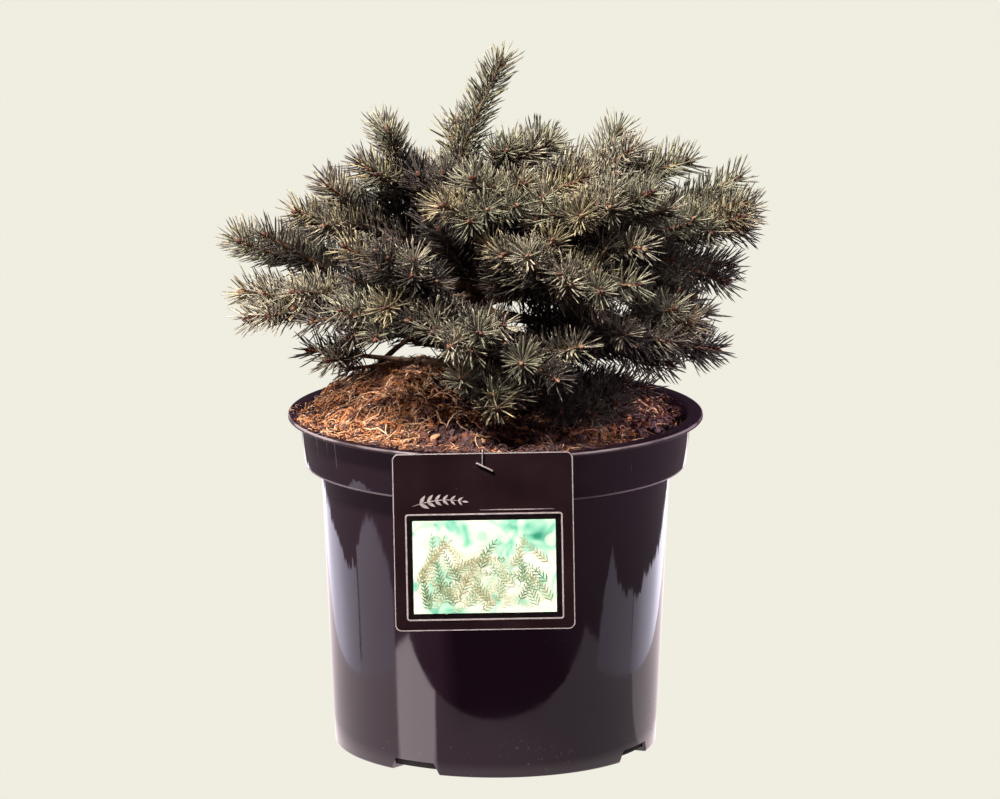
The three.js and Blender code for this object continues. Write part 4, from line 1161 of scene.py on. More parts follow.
def mass_shoots(index):
    """Every shoot of a mass as its curve, length, thickness, bare share and order in the branching.

    The order is -1 for the leader, 0 for a leading shoot, 1 for its side shoots, 2 for their twigs and
    3 for an inner shoot. Side shoots keep to the mass's cell, and twigs, on the longer ones, within the
    reach of the shoots before them. Inner shoots leave the bough before its fork, and the trunk's top
    below the leader.
    """
    shoots = []
    is_leader = index == len(BOUGHS)
    last, length_share = (LEADER_LAST, LEADER_SIDES) if is_leader else (SIDE_LAST, SIDE_LENGTH)
    bare, first_order = (0.0, -1) if is_leader else (BARE_LEADING, 0)
    for j, (lead, length) in enumerate(plans[index]):
        shoots.append((lead, length, SHOOT_RADIUS, bare, first_order))
        sides = side_shoots(lead, length, index * 10 + j, length_share, last, SIDE_SHOOTS)
        if is_leader:
            sides = [cut(*sides[k], 0.5) for k in (0, 2)]
        else:
            sides = [sides[k] for k in ((1, 3) if names[index] in SPARSE else (0, 3, 4))]
        for handles, side_length in sides:
            room = fitted(handles, side_length, lambda places: in_cell(places, index) & ~in_opening(places))
            if room is not None:
                shoots.append((*room, SIDE_RADIUS, BARE_FOOT, 1))

    def within(reach, shoot, order):
        """The shoot as a twig of that order, cut back to a reach, in a list that is empty without room."""

        def allowed(places):
            return (places @ AROUND.T < reach).all(axis=-1) & ~in_opening(places)

        short = fitted(*shoot, allowed)
        return [] if short is None else [(*short, TWIG_RADIUS, BARE_FOOT, order)]

    limit = reach_of(shoots)
    twigs = []
    for k, (handles, length, _, _, order) in enumerate(shoots):
        if order == 1 and length >= TWIG_FROM and not is_leader:
            sides = side_shoots(handles, length, 1000 + index * 100 + k, TWIG_LENGTH, SIDE_LAST, 2)
            twigs += within(limit, sides[0], 2)
    if is_leader:
        parent = np.array([trunk_at(0.4), trunk_at(0.7), trunk_at(1)])
        inner = side_shoots(parent, TOP_PARENT, 7000, INNER_LENGTH, INNER_LAST, TOP_SHOOTS, TOP_TURN)
    else:
        parent, _ = cut(limb_handles(BOUGHS[index]), 1.0, FORK_SHARE)
        inner = side_shoots(parent, INNER_PARENT, 5000 + index, INNER_LENGTH, INNER_LAST, 5)[2:]
    for shoot in inner:
        twigs += within(CROWN_REACH, shoot, 3)
    return shoots + twigs


# The needles stay a millimetre inside the box round all the masses' solids.
limits = np.array([[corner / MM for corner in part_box("shoots_" + name)] for name in names])
CROWN_LOW = limits[:, 0].min(axis=0) + 1
CROWN_HIGH = limits[:, 1].max(axis=0) - 1


def needle_lines(shoots, random):
    """The needles' middle lines, their thickness, each one's shoot by number, and whether it is old and
    shaded.

    Needles follow a golden-angle spiral along their shoot. A needle leans forward from the twig, more
    so towards the tip, and curves up and forward along a parabola. Those on the upper side are denser,
    because some of those below are left out. None goes past the crown's limits, or into the opening.
    Old needles are those deep in the crown and at the foot of the leading shoots; their dark colour is partly
    their age and partly painted shade.
    """
    handles = np.array([shoot[0] for shoot in shoots])
    length, bare, order = np.array([(shoot[1], shoot[3], shoot[4]) for shoot in shoots], float).T
    counts = (length * (1 - bare) * NEEDLES_PER_MM * np.where(order < 0, 1.5, 1)).astype(int)
    on = np.repeat(np.arange(len(shoots)), counts)
    number = np.concatenate([np.arange(count) for count in counts])
    share = mix(bare[on], 1, (number + 0.5) / counts[on])
    share = np.clip(share + random.normal(0, 0.004, len(on)), 0, 1)
    curves = np.moveaxis(handles[on], 1, 0)
    root, heading = bezier(curves, share), bezier_heading(curves, share)
    side, lift = side_and_lift(heading)
    turn = number * GOLDEN_TURN + random.normal(0, 0.22, len(on)) + on
    outward = side * np.cos(turn)[:, None] + lift * np.sin(turn)[:, None]
    to_tip = (1 - share) * length[on]
    upward = (1 + outward[:, 2]) / 2
    lean = mix(LEAN_AT_TIP, mix(LEAN_BELOW, LEAN_ABOVE, upward), np.clip(to_tip / 10, 0, 1) ** 0.6)
    lean = np.radians(lean + random.normal(0, 6, len(on)))
    direction = heading * np.cos(lean)[:, None] + outward * np.sin(lean)[:, None]
    direction = unit(direction + UP * 0.09)
    size = NEEDLE_LENGTH * (0.82 + 0.3 * random.random(len(on)))
    size *= mix(0.72, 1, np.clip(share * length[on] / 9, 0, 1))
    size *= mix(0.84, 1, np.clip(to_tip / 5, 0, 1))
    curl = UP * 0.07 + heading * mix(0.26, 0.14, upward)[:, None] + random.normal(0, 0.035, (len(on), 3))
    s = np.array([0, 0.05, 0.42, 0.85, 1])[None, :, None]
    lines = root[:, None] + size[:, None, None] * (direction[:, None] * s + curl[:, None] * s**2)
    below = outward[:, 2] < -0.3
    kept = ~(below & (random.random(len(on)) < THINNED_BELOW)) & above_pot(lines[:, 2:], GAP).all(axis=1)
    kept &= ~in_opening(lines).any(axis=1)
    kept &= ((lines > CROWN_LOW) & (lines < CROWN_HIGH)).all(axis=(1, 2))
    thick = NEEDLE_RADIUS * (0.85 + 0.3 * random.random(len(on)))
    radii = thick[:, None] * NEEDLE_SHAPE
    deep = np.linalg.norm(root - HEART, axis=1) < OLD_AND_SHADED_DEPTH * (0.85 + 0.3 * random.random(len(on)))
    old_and_shaded = deep | ((order[on] == 0) & (share < 0.45))
    return lines[kept], radii[kept], on[kept], old_and_shaded[kept] & (random.random(kept.sum()) < 0.75)


def spray_colours(shoots, random):
    """The number of the needle colour of each shoot: one of four by chance, then changed by its place to
    paint light and shade.

    As painted light, deep ones that end high or lead in front are made paler. Then, as painted
    shade, a third of those that end on the left, all that end low on the right, in the crown's
    shade, and all inner ones are made deep.
    """
    x, y, z = np.array([shoot[0][2] for shoot in shoots]).T
    order = np.array([shoot[4] for shoot in shoots])
    colour = random.choice(len(NEEDLES), len(shoots), p=SPRAY_CHANCES)
    colour = np.where((z > LIT_ABOVE) & (colour == DEEP_AND_SHADED), GLAUCOUS, colour)
    colour = np.where((order <= 0) & (y < FRONT_OF) & (colour == DEEP_AND_SHADED), GREY, colour)
    colour = np.where((x < LEFT_OF) & (random.random(len(shoots)) < LEFT_DEEP), DEEP_AND_SHADED, colour)
    return np.where(((x > SHADE_RIGHT_OF) & (z < SHADE_BELOW)) | (order == 3), DEEP_AND_SHADED, colour)


def twig_lines(shoots, random):
    """The twigs' lines and thickness, in two halves a shoot, and whether each half has young bark.

    A half tapers along the shoot and is lumpy at random. Leading and inner shoots have old bark on
    their first halves.
    """
    lines, taper, young = [], [], []
    for handles, _, thick, _, order in shoots:
        for low, high in ((0, 0.46), (0.44, 1)):
            step = mix(low, high, np.array([0, 0.02, 0.2, 0.4, 0.6, 0.8, 0.98, 1]))
            lines.append(bezier(handles, step))
            taper.append(mix(thick * 1.2, 0.85, step))
            young.append(order in (-1, 1, 2) or low > 0)
    taper = np.array(taper)
    return np.array(lines), taper * (1 + 0.16 * random.random(taper.shape)), young


def bud_lines(shoots, random):
    """The buds' lines and thickness: one at each tip and, on the stouter shoots, two more beside it.

    A bud is egg-shaped, with small ridges where its scales end.
    """
    lines, radii = [], []
    swell = np.array([0, 0.62, 0.98, 1.0, 0.92, 0.66, 0.34, 0])
    step = np.array([0, 0.02, 0.2, 0.38, 0.56, 0.74, 0.9, 1])
    scales = 1 + 0.1 * np.array([0, 1, -1, 1, -1, 1, -1, 0])
    for handles, _, radius, _, order in shoots:
        tip, heading = handles[2], bezier_heading(handles, 1.0)
        side, lift = side_and_lift(heading)
        first = random.random() * 2 * np.pi
        for k in range(3 if order < 2 else 1):
            turn = first + k * np.pi
            beside, typical, sunk = (0, 4.0, 0.8) if k == 0 else (1, 3.0, 2.2)
            aside = (side * np.cos(turn) + lift * np.sin(turn)) * beside
            long = typical * (0.8 + 0.4 * random.random())
            start = tip - heading * sunk + aside * 0.6 * radius
            lines.append(start + unit(heading + aside * 0.9) * step[:, None] * long)
            radii.append(long * 0.34 * swell * scales)
    return np.array(lines), np.array(radii)


def needle_finish(name, colour, shade, waxy):
    """A needle's finish: a colour that drifts by noise to its painted shade from spray to spray, for the
    light and shade between sprays, with a waxy bloom.
    """
    plain = {"roughness": 0.46, "specular_ior_level": 0.42, "sheen_weight": waxy, "sheen_roughness": 0.5}
    material, tree, shader = finish_of(name, **plain)
    place = object_coordinates(tree)
    drift = clouds(tree, place, scale=130.0, detail=3.0)
    # Painted shade: the noise darkens patches of needles to the shade colour.
    painted(tree, shader, ramp(tree, drift, [(0.44, shade), (0.66, colour)]))
    bumped(tree, shader, clouds(tree, place, scale=900.0, detail=1.0), distance=0.0002, strength=0.4)
    return material


NEEDLES = [
    needle_finish("needles_glaucous", (0.36, 0.353, 0.238, 1), (0.085, 0.079, 0.056, 1), 0.1),
    needle_finish("needles_grey", (0.55, 0.505, 0.375, 1), (0.125, 0.108, 0.082, 1), 0.1),
    needle_finish("needles_olive", (0.46, 0.394, 0.228, 1), (0.105, 0.085, 0.052, 1), 0.05),
    # Dark needles, dealt partly at random and partly as painted shade in the crown's shaded places.
    needle_finish("needles_deep_and_shaded", (0.11, 0.094, 0.070, 1), (0.040, 0.031, 0.029, 1), 0.05),
    # Old needles, darker for their age and as painted shade deep in the crown.
    needle_finish("needles_old_and_shaded", (0.05, 0.036, 0.031, 1), (0.024, 0.017, 0.018, 1), 0.0),
]
GLAUCOUS, GREY, DEEP_AND_SHADED, OLD_AND_SHADED = 0, 1, 3, 4
SPRAY_CHANCES = (0.34, 0.26, 0.17, 0.23, 0.0)
# Where light and shade are painted into the needle colours: above a height and in front shoots
# are painted lit, to the left of a place some are painted deep, and low down to the right of a
# place they are painted in shade.
LIT_ABOVE = 296.0
FRONT_OF = -55.0
LEFT_OF, LEFT_DEEP = -36.0, 0.34
SHADE_RIGHT_OF, SHADE_BELOW = 22.0, 233.0
BUDS = [
    earth_finish("bud_brown", (0.17, 0.070, 0.048, 1), (0.07, 0.028, 0.024, 1), 500.0, 0.6),
    earth_finish("bud_tan", (0.29, 0.175, 0.115, 1), (0.15, 0.075, 0.05, 1), 500.0, 0.6),
]
MASSES_A_PIECE = 4

for first in range(0, len(names), MASSES_A_PIECE):
    group = range(first, min(first + MASSES_A_PIECE, len(names)))
    shoots = [shoot for index in group for shoot in mass_shoots(index)]
    random = np.random.default_rng(300 + first)
    label = str(first // MASSES_A_PIECE + 1)
    stood_for = ["shoots_" + names[index] for index in group]

    lines, radii, on, old_and_shaded = needle_lines(shoots, random)
    spray = spray_colours(shoots, random)
    # Old needles take one of the two dark colours: partly their age, partly painted shade.
    dealt = np.where(old_and_shaded, np.where(random.random(len(on)) < 0.5, OLD_AND_SHADED, DEEP_AND_SHADED), spray[on])
    needles = strand_piece("needles_" + label, lines, radii, 4, NEEDLES, dealt, 0.8)

    lines, radii, young = twig_lines(shoots, random)
    twigs = strand_piece("twigs_" + label, lines, radii, 6, [BARK, TWIG_BARK], young)

    lines, radii = bud_lines(shoots, random)
    tan = random.random(len(lines)) < 0.4
    buds = strand_piece("buds_" + label, lines, radii, 7, BUDS, tan)

    for made, slot in ((needles, "needles"), (twigs, "bark"), (buds, "bark")):
        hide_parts(*stood_for)
        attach(made, "root")

# The hang card.
# A square of dark plum card with rounded corners, printed with a thin pale edge line, a silver frame
# round a small picture, and a silver sprig in the place of words. The picture is a soft green garden
# blur with leafy sprigs.
CARD_WIDTH = 98.0
CARD_HEIGHT = 98.8
CARD_THICK = 0.8
CARD_CORNER = 3.6
CARD_EASE = 0.18
CARD_SHARP = 0.5
CARD_X = -7.0
CARD_TOP = 189.0
CARD_TURN = np.radians(-1)
CARD_BACK = -(LIP_RADIUS + GAP)
CARD_FRONT = CARD_BACK - CARD_THICK
HOLE_DROP = 6.7
HOLE_RADIUS = 1.4
TIE_HEIGHT = CARD_TOP - HOLE_DROP
CARD_MIDDLE = HOLE_DROP - CARD_HEIGHT / 2
# The left, foot, right and top of the card and of its picture, measured from the hole.
CARD = (-CARD_WIDTH / 2, CARD_MIDDLE - CARD_HEIGHT / 2, CARD_WIDTH / 2, CARD_MIDDLE + CARD_HEIGHT / 2)
PICTURE = (-38.6, 99.9 - TIE_HEIGHT, 39.0, 151.6 - TIE_HEIGHT)
PICTURE_MIDDLE = np.array([(PICTURE[0] + PICTURE[2]) / 2, (PICTURE[1] + PICTURE[3]) / 2])
FRAME_MARGIN = 3.9
LINE_WIDTH = 0.85
EDGE_LINE_WIDTH = 0.5
EDGE_LINE_INSET = 0.15
BLACK_LINE = 0.3
INK = 0.03
LEAF_ANGLE = 0.72
SPRIGS = 64
NO_TRIANGLES = np.zeros((0, 3), int)


def hung(flat, depth):
    """Points of the card's own plane, measured from its hole, put at a depth in front of its face."""
    x, z = flat[..., 0], flat[..., 1]
    turned_x = x * np.cos(CARD_TURN) + z * np.sin(CARD_TURN)
    turned_z = -x * np.sin(CARD_TURN) + z * np.cos(CARD_TURN)
    y = np.broadcast_to(CARD_FRONT - np.asarray(depth, float), x.shape)
    return stack(turned_x + CARD_X, y, turned_z + TIE_HEIGHT)


def grown(rectangle, margin):
    """A rectangle's left, foot, right and top, each moved outwards by a margin."""
    left, foot, right, top = rectangle
    return left - margin, foot - margin, right + margin, top + margin


def rounded_rectangle(left, foot, right, top, corner, steps=8):
    """The outline of a rectangle with round corners, counted the way a clock doesn't turn."""
    angle = np.linspace(0, np.pi / 2, steps + 1)
    outline = []
    for k, (x, z) in enumerate(((right, top), (left, top), (left, foot), (right, foot))):
        turn = angle + k * np.pi / 2
        inward = np.array([-1 if x == right else 1, -1 if z == top else 1]) * corner
        outline.append(np.array([x, z]) + inward + corner * stack(np.cos(turn), np.sin(turn)))
    return np.concatenate(outline)


def slab(outline, middle, depths):
    """A closed slab: an outline and its middle, at the first depth behind and the second in front."""
    count = len(outline)
    k, onward = neighbours(count)
    back, front = hung(outline, depths[0]), hung(outline, depths[1])
    points = np.vstack([back, front, hung(middle[None], depths[0]), hung(middle[None], depths[1])])
    sides = stack(k, onward, count + onward, count + k)
    ends = np.concatenate([stack(onward, k, 2 * count), stack(count + k, count + onward, 2 * count + 1)])
    return points, sides, ends


def sleeve(loops):
    """A closed band through loops with the same number of points, the last one joined to the first."""
    count = len(loops[0])
    k, onward = neighbours(count)
    last = (len(loops) - 1) * count
    closing = stack(last + k, last + onward, onward, k)
    return np.vstack(loops), np.concatenate([grid_faces(len(loops), count), closing]), NO_TRIANGLES


def card_body():
    """The card: its rounded outline, eased at the edges, bridged to the hole it hangs by."""
    outline = rounded_rectangle(*CARD, CARD_CORNER)
    bearing = np.arctan2(outline[:, 1], outline[:, 0])
    hole = HOLE_RADIUS * stack(np.cos(bearing), np.sin(bearing))
    eased = outline - CARD_EASE * np.sign(outline - [0, CARD_MIDDLE])
    back = [(hole, -CARD_THICK), (eased, -CARD_THICK), (outline, CARD_EASE - CARD_THICK)]
    front = [(outline, -CARD_EASE), (eased, 0), (hole, 0)]
    return sleeve([hung(loop, depth) for loop, depth in back + front])


def ring_line(rectangle, corner, width):
    """A printed line round a rectangle, as a thin band."""
    outer = rounded_rectangle(*rectangle, corner)
    inner = rounded_rectangle(*grown(rectangle, -width), max(corner - width, 0.05))
    return sleeve([hung(outer, 0), hung(outer, INK), hung(inner, INK), hung(inner, 0)])


def leaf(base, bearing, length, width, depths):
    """A slim printed leaf: two arcs from its base to its tip, widest just before the middle."""
    t = np.linspace(0, 1, 5)
    half = width / 2 * np.sin(np.pi * t**0.85)
    along = np.array([np.cos(bearing), np.sin(bearing)])
    across = np.array([-np.sin(bearing), np.cos(bearing)])
    spine = base + along * t[:, None] * length
    right_edge = spine - across * half[:, None]
    left_edge = (spine + across * half[:, None])[::-1][1:-1]
    return slab(np.concatenate([right_edge, left_edge]), base + along * length * 0.45, depths)


def stroke(path, width, depths):
    """A printed line of a given width along a path, tapering to its ends."""
    heading = unit(np.gradient(path, axis=0))
    across = stack(-heading[:, 1], heading[:, 0])
    share = np.linspace(0, 1, len(path))[:, None]
    half = width / 2 * (0.25 + 0.75 * np.sin(np.pi * share))
    outline = np.concatenate([path - across * half, (path + across * half)[::-1]])
    count = len(outline)
    points = np.vstack([hung(outline, depths[0]), hung(outline, depths[1])])
    k, onward = neighbours(count)
    sides = stack(k, onward, count + onward, count + k)
    rung = np.arange(len(path) - 1)
    far = count - 1 - rung
    front = stack(rung, rung + 1, far - 1, far)
    return points, np.concatenate([sides, front[:, ::-1], front + count]), NO_TRIANGLES


def sprig(start, bearing, bend, length, pairs, leaf_length, leaf_width, depths):
    """A printed sprig: a stem along an arc, pairs of leaves that shrink towards its tip, and one at it."""
    t = np.linspace(0, 1, 14)
    turn = bearing + bend * t
    step = stack(np.cos(turn), np.sin(turn)) * length / (len(t) - 1)
    path = start + np.concatenate([[[0, 0]], np.cumsum(step[:-1], axis=0)])
    parts = [stroke(path, 0.09 * leaf_length, depths)]
    for k in range(pairs):
        share = mix(0.14, 0.92, k / (pairs - 1))
        at = np.array([np.interp(share, t, path[:, 0]), np.interp(share, t, path[:, 1])])
        size = leaf_length * mix(1, 0.5, share)
        width = leaf_width * size / leaf_length
        for sign in (-1, 1):
            parts.append(leaf(at, bearing + bend * share + sign * LEAF_ANGLE, size, width, depths))
    parts.append(leaf(path[-1], bearing + bend, leaf_length * 0.6, leaf_width * 0.55, depths))
    return joined(parts)


def card_finish():
    """Dark plum coated card: semi-gloss, with a faint mottle and a few handling marks."""
    material, tree, shader = finish_of("card_plum", roughness=0.3, specular_ior_level=0.4)
    place = object_coordinates(tree)
    mottle = clouds(tree, place, scale=45.0, detail=4.0)
    base = ramp(tree, mottle, [(0.3, (0.013, 0.0052, 0.0075, 1)), (0.7, (0.021, 0.009, 0.0125, 1))])
    marks = flecks(tree, place, fleck_scale=500.0, patch_scale=25.0, limit=0.93)
    painted(tree, shader, mixed(tree, marks, base, (0.09, 0.075, 0.08, 1)))
    tree.links.new(scaled(tree, mottle, 0.0, 1.0, 0.24, 0.42), shader.inputs["Roughness"])
    return material


def drifting_finish(name, dark, colour, span, scale, **plain):
    """A plain finish whose colour drifts up from a darker one between the two values of a span of noise."""
    material, tree, shader = finish_of(name, **plain)
    drift = clouds(tree, object_coordinates(tree), scale=scale, detail=2.0)
    painted(tree, shader, ramp(tree, drift, [(span[0], dark), (span[1], colour)]))
    return material


def blur_finish():
    """The picture's ground: out-of-focus discs of cream, mint and aqua over drifting greens.

    A share of its light is a painted glow in its own colour, which brightens it though it is no lamp.
    """
    plain = {"roughness": 0.32, "specular_ior_level": 0.35, "emission_strength": 0.32}
    material, tree, shader = finish_of("picture_blur", **plain)
    place = object_coordinates(tree)
    greens = [
        (0.32, (0.035, 0.30, 0.19, 1)),
        (0.41, (0.25, 0.66, 0.47, 1)),
        (0.49, (0.66, 0.90, 0.71, 1)),
        (0.58, (0.92, 0.97, 0.80, 1)),
    ]
    ground = ramp(tree, clouds(tree, place, scale=52.0, detail=2.5, distortion=0.7), greens)
    discs = node(tree, "ShaderNodeTexVoronoi", {"Vector": place, "Scale": 120.0}, feature="F1").outputs
    soft = scaled(tree, discs["Distance"], 0.50, 0.40)
    hue = node(tree, "ShaderNodeSeparateColor", {"Color": discs["Color"]}).outputs[0]
    tints = [(0.15, (0.16, 0.60, 0.44, 1)), (0.4, (0.78, 0.95, 0.76, 1)), (0.7, (0.98, 0.99, 0.86, 1))]
    colour = mixed(tree, maths(tree, "MULTIPLY", soft, 0.5), ground, ramp(tree, hue, tints))
    painted(tree, shader, colour)
    # Painted glow: the picture gives off its own colour as light.
    tree.links.new(colour, shader.inputs["Emission Color"])
    return material


def print_finish(name, colour, dark):
    """Printed ink in one colour that drifts to a darker one."""
    plain = {"roughness": 0.34, "specular_ior_level": 0.35}
    return drifting_finish(name, dark, colour, (0.35, 0.65), 260.0, **plain)


# Silver-pink ink, slightly metallic, its brightness broken by the grain of the print.
SILVER_DARK, SILVER_PALE = (0.50, 0.43, 0.45, 1), (0.80, 0.73, 0.75, 1)
SILVER = drifting_finish(
    "silver_ink", SILVER_DARK, SILVER_PALE, (0.3, 0.7), 700.0, roughness=0.38, metallic=0.25
)
BLUR = blur_finish()
INK_BLACK = print_finish("ink_black", (0.009, 0.005, 0.006, 1), (0.004, 0.002, 0.003, 1))
LEAF_INKS = [
    print_finish("ink_moss", (0.17, 0.30, 0.17, 1), (0.07, 0.16, 0.09, 1)),
    print_finish("ink_sage", (0.46, 0.62, 0.38, 1), (0.27, 0.42, 0.26, 1)),
    print_finish("ink_cream", (0.92, 0.95, 0.76, 1), (0.74, 0.82, 0.58, 1)),
    print_finish("ink_straw", (0.66, 0.60, 0.36, 1), (0.38, 0.34, 0.19, 1)),
]

points, quads, tips = card_body()
card = piece("hang_card", points, [quads], [card_finish()], sharp=CARD_SHARP)
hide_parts("label_card")

rule = stack(np.linspace(-2, 38, 12), -25.0)
silver_lines = [
    ring_line(grown(CARD, -EDGE_LINE_INSET), CARD_CORNER, EDGE_LINE_WIDTH),
    ring_line(grown(PICTURE, FRAME_MARGIN), 1.6, LINE_WIDTH),
    sprig(np.array([-38.0, -22.5]), 0.35, -0.55, 27.0, 6, 6.2, 2.1, (0, INK)),
    stroke(rule, 0.5, (0, INK)),
]
points, quads, tips = joined(silver_lines)
silver = piece("card_silver_print", points, [quads, tips], [SILVER], smooth=False)

inside_frame = grown(grown(PICTURE, FRAME_MARGIN), -LINE_WIDTH)
outline = rounded_rectangle(*grown(inside_frame, -BLACK_LINE), 1.0)
points, quads, tips = slab(outline, PICTURE_MIDDLE, (0, 0.4 * INK))
margin = piece("card_black_margin", points, [quads, tips], [INK_BLACK], smooth=False)

points, quads, tips = slab(rounded_rectangle(*PICTURE, 0.4), PICTURE_MIDDLE, (0, INK))
picture = piece("card_picture", points, [quads, tips], [BLUR], smooth=False)

# The picture's sprigs, in random places. One that would end outside the picture is left out, and each
# one lies a little above the one before.
random = np.random.default_rng(61)
sprigs, inks = [], []
for k in range(400):
    foot = np.array([mix(-38, 37, random.random()), mix(-83, -50, random.random() ** 1.5)])
    bearing, bend = mix(0.3, 2.85, random.random()), mix(-0.8, 0.8, random.random())
    length, leaf_length = mix(14, 36, random.random()), mix(3.8, 5.6, random.random())
    end = foot + length * np.array([np.cos(bearing + bend / 2), np.sin(bearing + bend / 2)])
    if len(sprigs) == SPRIGS or abs(end[0]) > 34.5 or end[1] > -38:
        continue
    depths = (INK, INK * (1.4 + 0.08 * len(sprigs)))
    made = sprig(foot, bearing, bend, length, int(length / 2.4), leaf_length, 0.8, depths)
    colour = random.choice(len(LEAF_INKS), p=(0.17, 0.23, 0.38, 0.22))
    sprigs.append(made)
    inks.append(np.full(len(made[1]), colour))
    inks.append(np.full(len(made[2]), colour))
points, quads, tips = joined(sprigs)
dealt = np.concatenate(inks[0::2] + inks[1::2])
print_leaves = piece("card_leaf_print", points, [quads, tips], LEAF_INKS, dealt, smooth=False)
for made in (card, silver, margin, picture, print_leaves):
    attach(made, "root")

# The tie.
# A moulded nylon tie: a bead under the lip, a thread up through the lip and over the card's top edge,
# down its face to the hole, and a cross bar that lies askew on the card.
TIE_THREAD = 0.34
TIE_BEAD = 1.2
TIE_BAR = 0.5
BAR_LENGTH = 10.4
BAR_TURN = np.radians(26)
BAR_DROP = 0.6
BAR_SHIFT = 1.25
TIE_Y = -(LIP_RADIUS - 3.4)


def tie_parts():
    """The thread as one rounded path, the bar as a capsule whose ends are half circles, and the bead."""
    front = CARD_FRONT - GAP - TIE_BAR
    over = CARD_TOP + 2 * GAP + TIE_THREAD
    bead = POT_HEIGHT - LIP_THICK - GAP - TIE_BEAD
    corners = [(TIE_Y, bead), (TIE_Y, over), (front, over), (front, TIE_HEIGHT), (CARD_BACK, TIE_HEIGHT)]
    path = rounded(corners, (0, 1.0, 1.0, 0.5, 0))
    fine = np.linspace(0, len(path) - 1, 3 * len(path))
    y, z = (np.interp(fine, np.arange(len(path)), path[:, k]) for k in (0, 1))
    thread = stack(CARD_X, y, z)[None]
    radii = np.full((1, len(fine)), TIE_THREAD)
    parts = [strands(thread, radii, 10, upright=(1, 0.2, 0.1))[:3]]
    along = np.array([np.cos(BAR_TURN), 0, -np.sin(BAR_TURN)])
    middle = np.array([CARD_X, front, TIE_HEIGHT - BAR_DROP]) + along * BAR_SHIFT
    turn = np.linspace(0, np.pi / 2, 6)
    cap = BAR_LENGTH / 2 - TIE_BAR * (1 - np.sin(turn))
    offset = np.concatenate([-cap[::-1], [0], cap])
    thick = TIE_BAR * np.concatenate([np.cos(turn)[::-1], [1], np.cos(turn)])
    parts.append(strands((middle + along * offset[:, None])[None], thick[None], 14)[:3])
    turn = np.linspace(-np.pi / 2, np.pi / 2, 11)
    line = np.array([CARD_X, TIE_Y, bead]) + TIE_BEAD * np.sin(turn)[:, None] * UP
    parts.append(strands(line[None], TIE_BEAD * np.cos(turn)[None], 16, upright=(1, 0.2, 0.1))[:3])
    return joined(parts)


# Milky nylon: half clear, with light scattered inside and a soft gloss.
NYLON_DARK, NYLON_PALE = (0.24, 0.20, 0.215, 1), (0.42, 0.37, 0.385, 1)
NYLON = drifting_finish(
    "tie_nylon",
    NYLON_DARK,
    NYLON_PALE,
    (0.3, 0.7),
    500.0,
    roughness=0.35,
    subsurface_weight=0.3,
    subsurface_scale=0.001,
    specular_ior_level=0.5,
)

points, quads, tips = tie_parts()
tie = piece("nylon_tie", points, [quads, tips], [NYLON])
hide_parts("label_tie")
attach(tie, "root")

# The studio.
# A pale table and backdrop of one cream tone, upright boards beside the pot that give it its bands, a
# key light high on the left, dim fill and rim lights, two small lamps on the mulch, and a dark room
# beyond the table's near edge, which the pot's front reflects.
CREAM = (0.871, 0.847, 0.753, 1)
TABLE_RADIUS = 6000.0
TABLE_SIDES = 64
TABLE_LEVEL = -0.05
SHEET_NEAR, SHEET_FAR = -0.185, 0.715
SHEET_LEFT, SHEET_RIGHT = -0.254, 0.275
SHEET_SOFT = (0.0015, 0.002)
# The bright wedge's two sides: a place on each, and its turn from the line of sight.
WEDGE_INNER = (-0.034, -0.085, np.radians(-43.6))
WEDGE_OUTER = (-0.055, -0.073, np.radians(-73.4))
# How brightly the sheet glows in mirror rays: all over, and how much more in the wedge, on the left of
# it, far off and close to the pot. The wedge is a painted pool of light, and the dim sheet beside it
# the pot's painted shadow.
SHEET_GLOW, WEDGE_GLOW, LEFT_GLOW, FAR_GLOW, CLOSE_GLOW = 0.54, 3.6, 0.62, 0.5, 0.6
BOARD_X = 225.0
CEILING_HALF = 900.0
CEILING_HEIGHT = 1500.0


def glow_of(name):
    """A new material with an empty node tree, for a glow."""
    material = bpy.data.materials.new(name)
    material.use_nodes = True
    material.node_tree.nodes.clear()
    return material, material.node_tree


def glowing(tree, colour, strength):
    """Ends a glow's tree with its colour and strength."""
    shine = node(tree, "ShaderNodeEmission", {"Color": colour, "Strength": strength})
    leave = tree.nodes.new("ShaderNodeOutputMaterial")
    tree.links.new(shine.outputs[0], leave.inputs["Surface"])


def world_light():
    """Cream to the camera, a dim plum room to the diffuse rays, and a nearly black one to mirror rays."""
    world = bpy.data.worlds.new("studio")
    bpy.context.scene.world = world
    world.use_nodes = True
    tree = world.node_tree
    tree.nodes.clear()
    path = tree.nodes.new("ShaderNodeLightPath").outputs
    room = mixed(tree, path["Is Glossy Ray"], (0.040, 0.021, 0.031, 1), (0.030, 0.021, 0.029, 1))
    colour = mixed(tree, path["Is Camera Ray"], room, CREAM)
    shine = node(tree, "ShaderNodeBackground", {"Color": colour, "Strength": 1.0})
    leave = tree.nodes.new("ShaderNodeOutputWorld")
    tree.links.new(shine.outputs[0], leave.inputs["Surface"])


